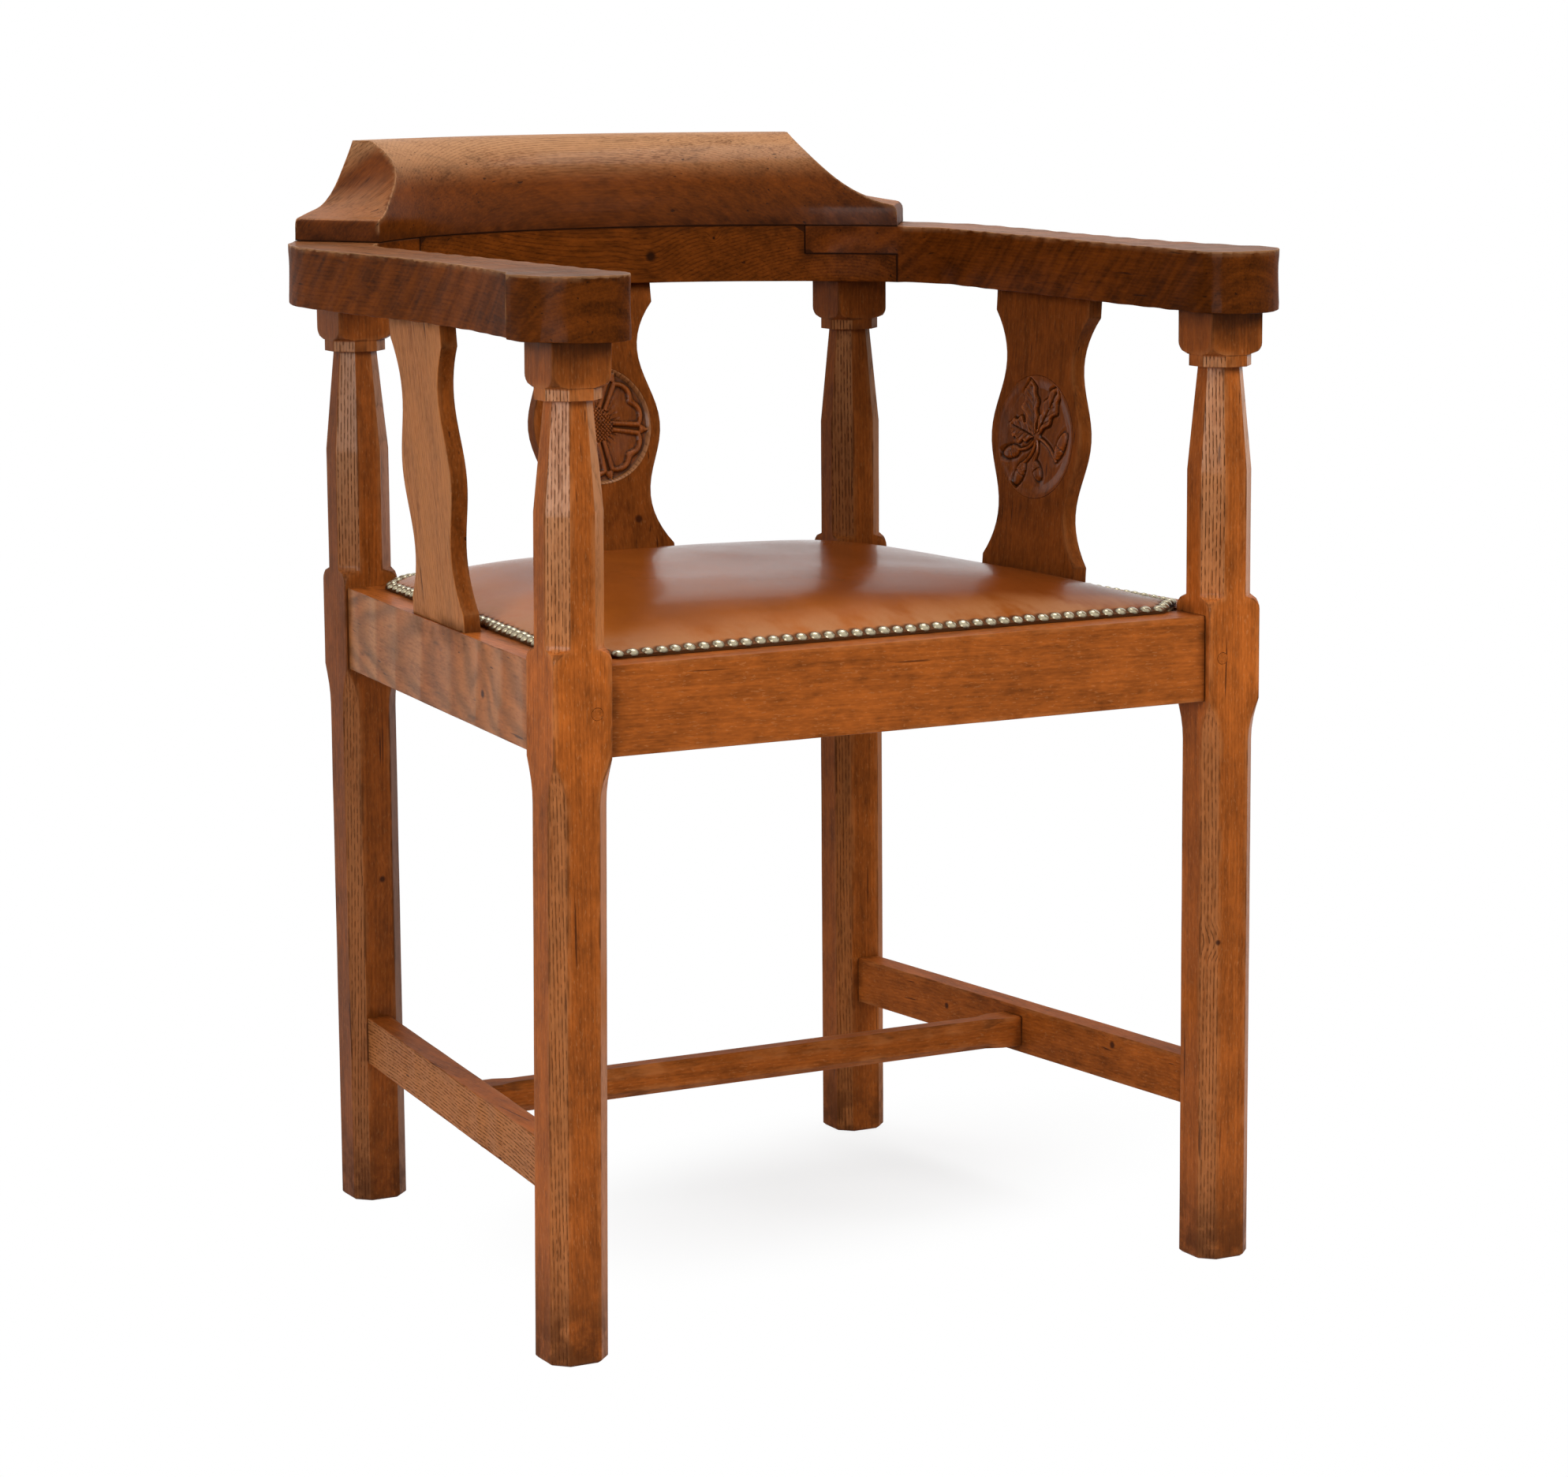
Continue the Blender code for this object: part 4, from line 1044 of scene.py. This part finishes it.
addCarving("back_splat", roseHeight, burnishedOak, rose)
addCarving("right_splat", sprigHeight, burnishedOak, sprig)
addCarving("left_splat", lambda x, y, radius: sprigHeight(-x, y, radius), burnishedOak, sprig)
print("rose and oak sprigs carved")


leather = {
    "thickness": 0.0020,
    "crownPower": 4.0,
    "rings": 46,
    "lowRings": (0.25, 0.5, 0.75, 0.9, 1.0),
    "aroundStep": 0.0026,
    "spare": 0.01,              # taken up by the crown, and the share of the area
    "spareArea": 1.02,
    "uneven": 0.0006,
    "evenRim": 0.03,            # the edge lies flat up to here
    "pull": 0.0007,             # dimple under each nail, and its reach in heads
    "dimple": 0.55,
    "puff": 0.0006,             # swell between the nails
    "puffReach": 0.012,
    "colour": (0.50, 0.132, 0.015),
    # darker rubbed middle, with painted dark reflection there and painted shade towards the right
    "wearAndPaintedLight": (0.20, 0.044, 0.006),
    # pale dried edge, with painted sheen
    "dryAndSheen": (0.44, 0.205, 0.088),
    "grimeAndShade": (0.035, 0.012, 0.004),
    "roughness": 0.12,
    "specular": 0.022,
    "grainSize": 0.0011,
}
nails = {
    "pitch": 0.0104,
    "head": 0.0084,             # diameter
    "rise": 0.0030,
    "frontInset": 0.0036,       # from the leather's edge
    "sideInset": 0.0032,
    "stray": 0.0004,            # off the line
    "tip": 0.09,                # and off the upright, in radians
    "sizes": (0.95, 1.04),
    "sink": 0.0004,             # of the middle of the underside
    "dull": 2.6,                # how fast the tarnish ends above the rim
    "around": 14,
    "rings": 5,
    "brass": (0.46, 0.40, 0.27),
    "tarnish": (0.085, 0.066, 0.040),
}


def sidesOf(corners):
    return list(zip(corners, corners[1:] + corners[:1]))


def outlineOf(name):            # corners of a node's outline seen from above, anticlockwise
    spots = sorted({(round(v.co.x, 5), round(v.co.y, 5)) for v in nodes[name].data.vertices})
    flat = [Vector(spot) for spot in spots]
    ring = [flat[i] for i in convex_hull_2d(flat)]
    corners = []
    for i, point in enumerate(ring):
        before, after = point - ring[i - 1], ring[(i + 1) % len(ring)] - point
        if abs(before.angle_signed(after)) > radians(4):
            corners.append(point)
    return corners


def insetCorners(corners, inset):       # inset takes an edge's direction to a distance
    lines = []
    for start, end in sidesOf(corners):
        run = (end - start).normalized()
        lines.append((start + Vector((-run.y, run.x)) * inset(run), run))
    made = []
    for i, (start, run) in enumerate(lines):
        other, otherRun = lines[i - 1]
        made.append(start + run * ((other - start).cross(otherRun) / run.cross(otherRun)))
    return made


def walk(corners, step):        # evenly spaced points round a closed outline
    sides = [(a, b, (b - a).length) for a, b in sidesOf(corners)]
    total = sum(length for a, b, length in sides)
    count = round(total / step)
    points, used, side = [], 0.0, 0
    for i in range(count):
        at = total * i / count
        while at > used + sides[side][2]:
            used += sides[side][2]
            side += 1
        a, b, length = sides[side]
        points.append(a.lerp(b, (at - used) / length))
    return points


hideCorners = outlineOf("seat_leather")
hideLow, hideHigh = (Vector(corner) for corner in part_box("seat_leather"))
crownRise = hideHigh.z - hideLow.z - leather["thickness"]
frontY, backY = hideLow.y, hideHigh.y
rightSides = [(a, b) for a, b in sidesOf(hideCorners) if a.x > 0 and b.x > 0]
sideEdge = max(rightSides, key=lambda side: abs(side[0].y - side[1].y))


def halfWidth(y):
    a, b = sideEdge
    return partWay(a.x, b.x, (y - a.y) / (b.y - a.y))


def crown(x, y):                # underside of the leather over the stuffing
    u = min(1, abs(x) / halfWidth(y))
    middle = (frontY + backY) / 2
    v = min(1, abs(y - middle) / (backY - middle))
    return hideLow.z + crownRise * (1 - u ** leather["crownPower"]) * (1 - v ** leather["crownPower"])


def nailInset(run):
    return nails["frontInset"] if abs(run.x) > 0.9 and run.x > 0 else nails["sideInset"]


nailPath = insetCorners(hideCorners, nailInset)
nailSpots = walk(nailPath, nails["pitch"])
nailTree = searchTree([spot.to_3d() for spot in nailSpots])


def edgeGap(point, corners):    # distance inside a convex outline
    return min((end - start).normalized().cross(point - start) for start, end in sidesOf(corners))


def hideTop(x, y):
    inside = edgeGap(Vector((x, y)), nailPath)
    toNail = nailTree.find((x, y, 0))[2]
    dimple = exp(-((toNail / (nails["head"] * leather["dimple"])) ** 2))
    between = min(1, toNail / (nails["pitch"] * 0.5))
    fade = exp(-max(0, inside) / leather["puffReach"]) if inside > -0.002 else 0.4
    uneven = leather["uneven"] * min(1, max(0, inside) / leather["evenRim"])
    uneven *= noise.noise(Vector((x * 16, y * 16, 3.1)))
    level = crown(x, y) + leather["thickness"]
    return level - leather["pull"] * dimple + leather["puff"] * fade * between + uneven


def addHide():
    work = bmesh.new()
    rim = walk(hideCorners, leather["aroundStep"])
    centre = sum(rim, Vector((0, 0))) / len(rim)

    def ring(share, level):
        flat = [centre.lerp(point, share) for point in rim]
        return [work.verts.new((p.x, p.y, level(p.x, p.y))) for p in flat]

    shares = [1 - (1 - i / leather["rings"]) ** 1.55 for i in range(1, leather["rings"] + 1)]
    topRows = [ring(share, hideTop) for share in shares]
    lowRows = [ring(share, crown) for share in leather["lowRings"]]
    for rows, level in ((topRows, hideTop), (lowRows, crown)):
        tip = work.verts.new((centre.x, centre.y, level(centre.x, centre.y)))
        faceRings(work, tip, rows)
    for i in range(len(rim)):
        j = (i + 1) % len(rim)
        work.faces.new((lowRows[-1][i], lowRows[-1][j], topRows[-1][j], topRows[-1][i]))
    bmesh.ops.recalc_face_normals(work, faces=work.faces)
    piece = addPiece("seat_hide", work, makeLeather(), "leather", 50)
    places = [v.co.copy() for v in work.verts]
    work.free()
    setFields(piece.data, {"rim": [max(0, edgeGap(place.to_2d(), hideCorners)) for place in places],
                           "nailed": [nailTree.find((place.x, place.y, 0))[2] for place in places]})
    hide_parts("seat_leather")
    area = abs(sum(a.cross(b) for a, b in sidesOf(hideCorners))) / 2 * leather["spareArea"]


def makeLeather():
    look = leather
    material, tap = newMaterial("tan_hide")
    place = placeOf(tap)
    rim = attribute(tap, "rim", "Fac")
    cells = tap.node("TexVoronoi", {"feature": "DISTANCE_TO_EDGE"},
                     {"Vector": place, "Scale": 1 / look["grainSize"]})
    creases = ease(cells, 0.0, 0.16, 1.0, 0.0)
    stain = cloudy(place, 9.0, 4.0, 0.6)
    smear = cloudy(scaled(place, (1.0, 0.45, 1.0)), 34.0, 3.0, 0.6)
    across = tap.node("SeparateXYZ", {}, {"Vector": place}, 0)
    # darker in the middle: wear and painted dark reflection; darker towards the right: painted shade
    sat = ease(rim, 0.012, 0.085) * (0.32 + 0.8 * stain) + ease(across, -0.10, 0.18) * 0.75
    hide = blend(smaller(sat, 1.0), look["colour"], look["wearAndPaintedLight"])
    tone = 0.86 + (stain - 0.5) * 0.5 + (smear - 0.5) * 0.35
    hide = tap.node("HueSaturation", {}, {"Value": tone, "Color": hide})
    # pale edge: dried leather and painted sheen
    edge = ease(rim, 0.0, 0.055, 1.0, 0.0) * ease(smear, 0.3, 0.6)
    hide = blend(edge * 0.75, hide, look["dryAndSheen"])
    hide = blend(creases * 0.22, hide, look["wearAndPaintedLight"])
    # dirt and painted shade round the nail heads and under them at the edge
    atNails = ease(attribute(tap, "nailed", "Fac"), 0.0042, 0.0068, 0.8, 0.0)
    dirtAndShade = larger(atNails, ease(rim, 0.0004, 0.0022, 0.92, 0.0))
    hide = blend(dirtAndShade, hide, look["grimeAndShade"])
    relief = smear * 0.6 - creases * 0.35
    bumped = tap.node("Bump", {}, {"Strength": 0.2, "Distance": 0.0003, "Height": relief})
    gloss = look["roughness"] + (smear - 0.5) * 0.14 + creases * 0.05 + edge * 0.12 + dirtAndShade * 0.3
    finishSurface(
        tap,
        {"Specular IOR Level": look["specular"]},
        {"Base Color": hide, "Roughness": gloss, "Normal": bumped},
    )
    return material


addHide()
print("leather stretched over the seat")


def makeBrass():
    material, tap = newMaterial("antique_brass")
    place = placeOf(tap)
    dull = attribute(tap, "tarnish", "Fac")
    spots = cloudy(place, 420.0, 3.0, 0.6)
    share = smaller(dull * 0.9 + ease(spots, 0.5, 0.75) * 0.35, 1.0)
    metal = blend(share, nails["brass"], nails["tarnish"])
    finishSurface(tap, {"Metallic": 0.85}, {"Base Color": metal, "Roughness": 0.24 + share * 0.3})
    return material


def addNails():
    work = bmesh.new()
    draw = Random(31)
    dulls = []
    radius, rise, stray, tip = nails["head"] / 2, nails["rise"], nails["stray"], nails["tip"]
    around, rings, step = nails["around"], nails["rings"], 0.0008
    turns = circle(around)
    for spot in nailSpots:
        x, y = (at + draw.uniform(-stray, stray) for at in spot)
        fall = crown(x - step, y) - crown(x + step, y), crown(x, y - step) - crown(x, y + step)
        slope = Vector((*fall, 2 * step)).normalized()
        turn = Vector((0, 0, 1)).rotation_difference(slope).to_matrix()
        lean = turn @ Matrix.Rotation(draw.uniform(-tip, tip), 3, "X")
        lean = lean @ Matrix.Rotation(draw.uniform(-tip, tip), 3, "Y")
        seat = Vector((x, y, crown(x, y) + leather["thickness"] - leather["pull"] * 0.9))
        size = draw.uniform(*nails["sizes"])
        rows = []
        for r in range(rings):
            angle = pi / 2 * r / rings
            reach, level = radius * size * cos(angle), rise * sin(angle)
            ring = [lean @ Vector((reach * c, reach * s, level)) for c, s in turns]
            rows.append([work.verts.new(seat + place) for place in ring])
            dulls += [max(0.0, 1 - nails["dull"] * r / rings)] * around
        top = work.verts.new(seat + lean @ Vector((0, 0, rise)))
        base = work.verts.new(seat - turn @ Vector((0, 0, nails["sink"])))
        dulls += [0.0, 1.0]
        faceRings(work, top, rows[::-1])
        for a in range(around):
            work.faces.new((rows[0][(a + 1) % around], rows[0][a], base))
    piece = addPiece("seat_nails", work, makeBrass(), "brass", 60)
    work.free()
    setFields(piece.data, {"tarnish": dulls})


addNails()
print(len(nailSpots), "nails driven")


weave = {
    "jute": (0.36, 0.25, 0.125),
    "dark": (0.17, 0.11, 0.05),
    "thread": 0.0016,
    "hessian": (0.30, 0.215, 0.115),
    "strapStep": 0.006,
    "padStep": 0.012,
}


def makeWeave(name, colour, thread):
    material, tap = newMaterial(name)
    place = placeOf(tap)
    bands = {"Vector": place, "Scale": 0.5 / thread / pi, "Distortion": 0.6, "Detail Scale": 2.0}
    warp, weft = (tap.node("TexWave", {"bands_direction": way}, bands, "Fac") for way in "XY")
    fuzz = cloudy(place, 900.0, 2.0, 0.6)
    threads = larger(warp, weft * 0.9)
    cloth = blend(ease(threads, 0.2, 0.8), weave["dark"], colour)
    cloth = tap.node("HueSaturation", {}, {"Value": 0.7 + fuzz * 0.6, "Color": cloth})
    bumped = tap.node("Bump", {}, {"Strength": 0.8, "Distance": thread * 0.3, "Height": threads + fuzz * 0.3})
    finishSurface(tap, {"Roughness": 0.9, "Specular IOR Level": 0.2}, {"Base Color": cloth, "Normal": bumped})
    return material


def clothSolid(name, step):
    work = cadSolid(name)
    bmesh.ops.triangulate(work, faces=work.faces)
    for axis in (0, 1):
        sliceUp(work, axis, step)
    return work


def addStrap(name, material):
    work = clothSolid(name, weave["strapStep"])
    size = Vector(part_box(name)[1]) - Vector(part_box(name)[0])
    piece = addPiece(name + "_strap", work, material, "webbing", 50)
    work.free()
    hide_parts(name)


def addPad():
    work = clothSolid("seat_pad", weave["padStep"])
    hessian = makeWeave("hessian", weave["hessian"], weave["thread"])
    piece = addPiece("seat_stuffing", work, hessian, "stuffing", 50)
    work.free()
    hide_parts("seat_pad")


juteWebbing = makeWeave("jute_webbing", weave["jute"], weave["thread"] * 1.2)
for name in nodes:
    if "webbing" in name:
        addStrap(name, juteWebbing)
addPad()
print("webbing and stuffing in place")


studio = {
    "floor": (0.86, 0.86, 0.86),
    "reach": 12,                # half the floor's width
    "level": -0.0004,
    "shadowShare": 0.27,        # how much of the floor's own shading is seen, inside the painted shadow ellipse alone
    # painted shadow: this ellipse greys the floor, over its real shadow
    "shadow": {"middle": (0.12, 0.05), "bearing": 17, "size": (0.38, 0.20)},
    "dim": (0.12, 0.12, 0.12),  # painted dark floor out of the light
    "pool": (0.55, 1.1),        # radius of the painted pool of light under the chair
    "ambient": 0.23,
}
lamps = {
    "front": {"place": (0.95, -1.95, 2.0), "aim": (0, 0, 0.35), "size": 1.2, "power": 42, "glare": False},
    "left": {"place": (-1.75, -1.0, 0.95), "aim": (0, 0, 0.50), "size": 0.95, "power": 19},
    "back": {"place": (-0.5, 2.2, 1.5), "aim": (0, 0, 0.4), "size": 1.2, "power": 15, "glare": False},
    "top": {"place": (0.50, 0.45, 2.4), "aim": (0, 0.0, 0.6), "size": 1.0, "power": 16},
}


def addLamp(name, lamp):
    light = bpy.data.lights.new(name, "AREA")
    light.shape, light.size, light.energy = "SQUARE", lamp["size"], lamp["power"]
    made = addObject(name, light)
    made.location = lamp["place"]
    made.rotation_euler = (Vector(lamp["aim"]) - Vector(lamp["place"])).to_track_quat("-Z", "Y").to_euler()
    made.visible_glossy = lamp.get("glare", True)


def lookedAt(tap):              # 1 for the camera, in reflections and through glass, 0 for light on the chair
    rays = [tap.node("LightPath", {}, {}, f"Is {ray} Ray") for ray in ("Camera", "Glossy", "Transmission")]
    return larger(larger(rays[0], rays[1]), rays[2])


def addFloor():
    material, tap = newMaterial("pale_floor")
    place = placeOf(tap)
    seen = lookedAt(tap)
    gap = tap.node("VectorMath", {"operation": "LENGTH"}, {0: place}, "Value")
    shadow = studio["shadow"]
    bearing = radians(shadow["bearing"])
    x, y = (tap.node("SeparateXYZ", {}, {"Vector": place}, i) - shadow["middle"][i] for i in (0, 1))
    long = (x * cos(bearing) + y * sin(bearing)) / shadow["size"][0]
    wide = (y * cos(bearing) - x * sin(bearing)) / shadow["size"][1]
    # painted shadow: only inside the ellipse does the floor show its shading
    share = ease((long * long + wide * wide) ** 0.5, 0.1, 1.0, 1 - studio["shadowShare"], 1.0)
    # painted pool of light: the floor's colour darkens away from the chair
    colour = blend(ease(gap, *studio["pool"]), studio["floor"], studio["dim"])
    paint = tap.node("BsdfDiffuse", {}, {"Color": colour})
    glow = tap.node("Emission", {}, {"Color": (1.0, 1.0, 1.0), "Strength": 1.0})
    mixed = tap.node("MixShader", {}, {0: share * seen, 1: paint, 2: glow})
    toOutput(tap, mixed, "Material")
    work = bmesh.new()
    bmesh.ops.create_grid(work, x_segments=2, y_segments=2, size=studio["reach"])
    mesh = bpy.data.meshes.new("floor")
    work.to_mesh(mesh)
    work.free()
    mesh.materials.append(material)
    made = addObject("floor", mesh)
    made.location.z = studio["level"]


def addWorld():
    world = bpy.data.worlds.new("studio")
    world.use_nodes = True
    world.node_tree.nodes.clear()
    scene.world = world
    tap = Tap(world.node_tree)
    level = studio["ambient"] + (1 - studio["ambient"]) * lookedAt(tap)
    shade = tap.node("Background", {}, {"Color": (1.0, 1.0, 1.0), "Strength": level})
    toOutput(tap, shade, "World")


addFloor()
addWorld()
for name, lamp in lamps.items():
    addLamp(name, lamp)
print("studio lit")
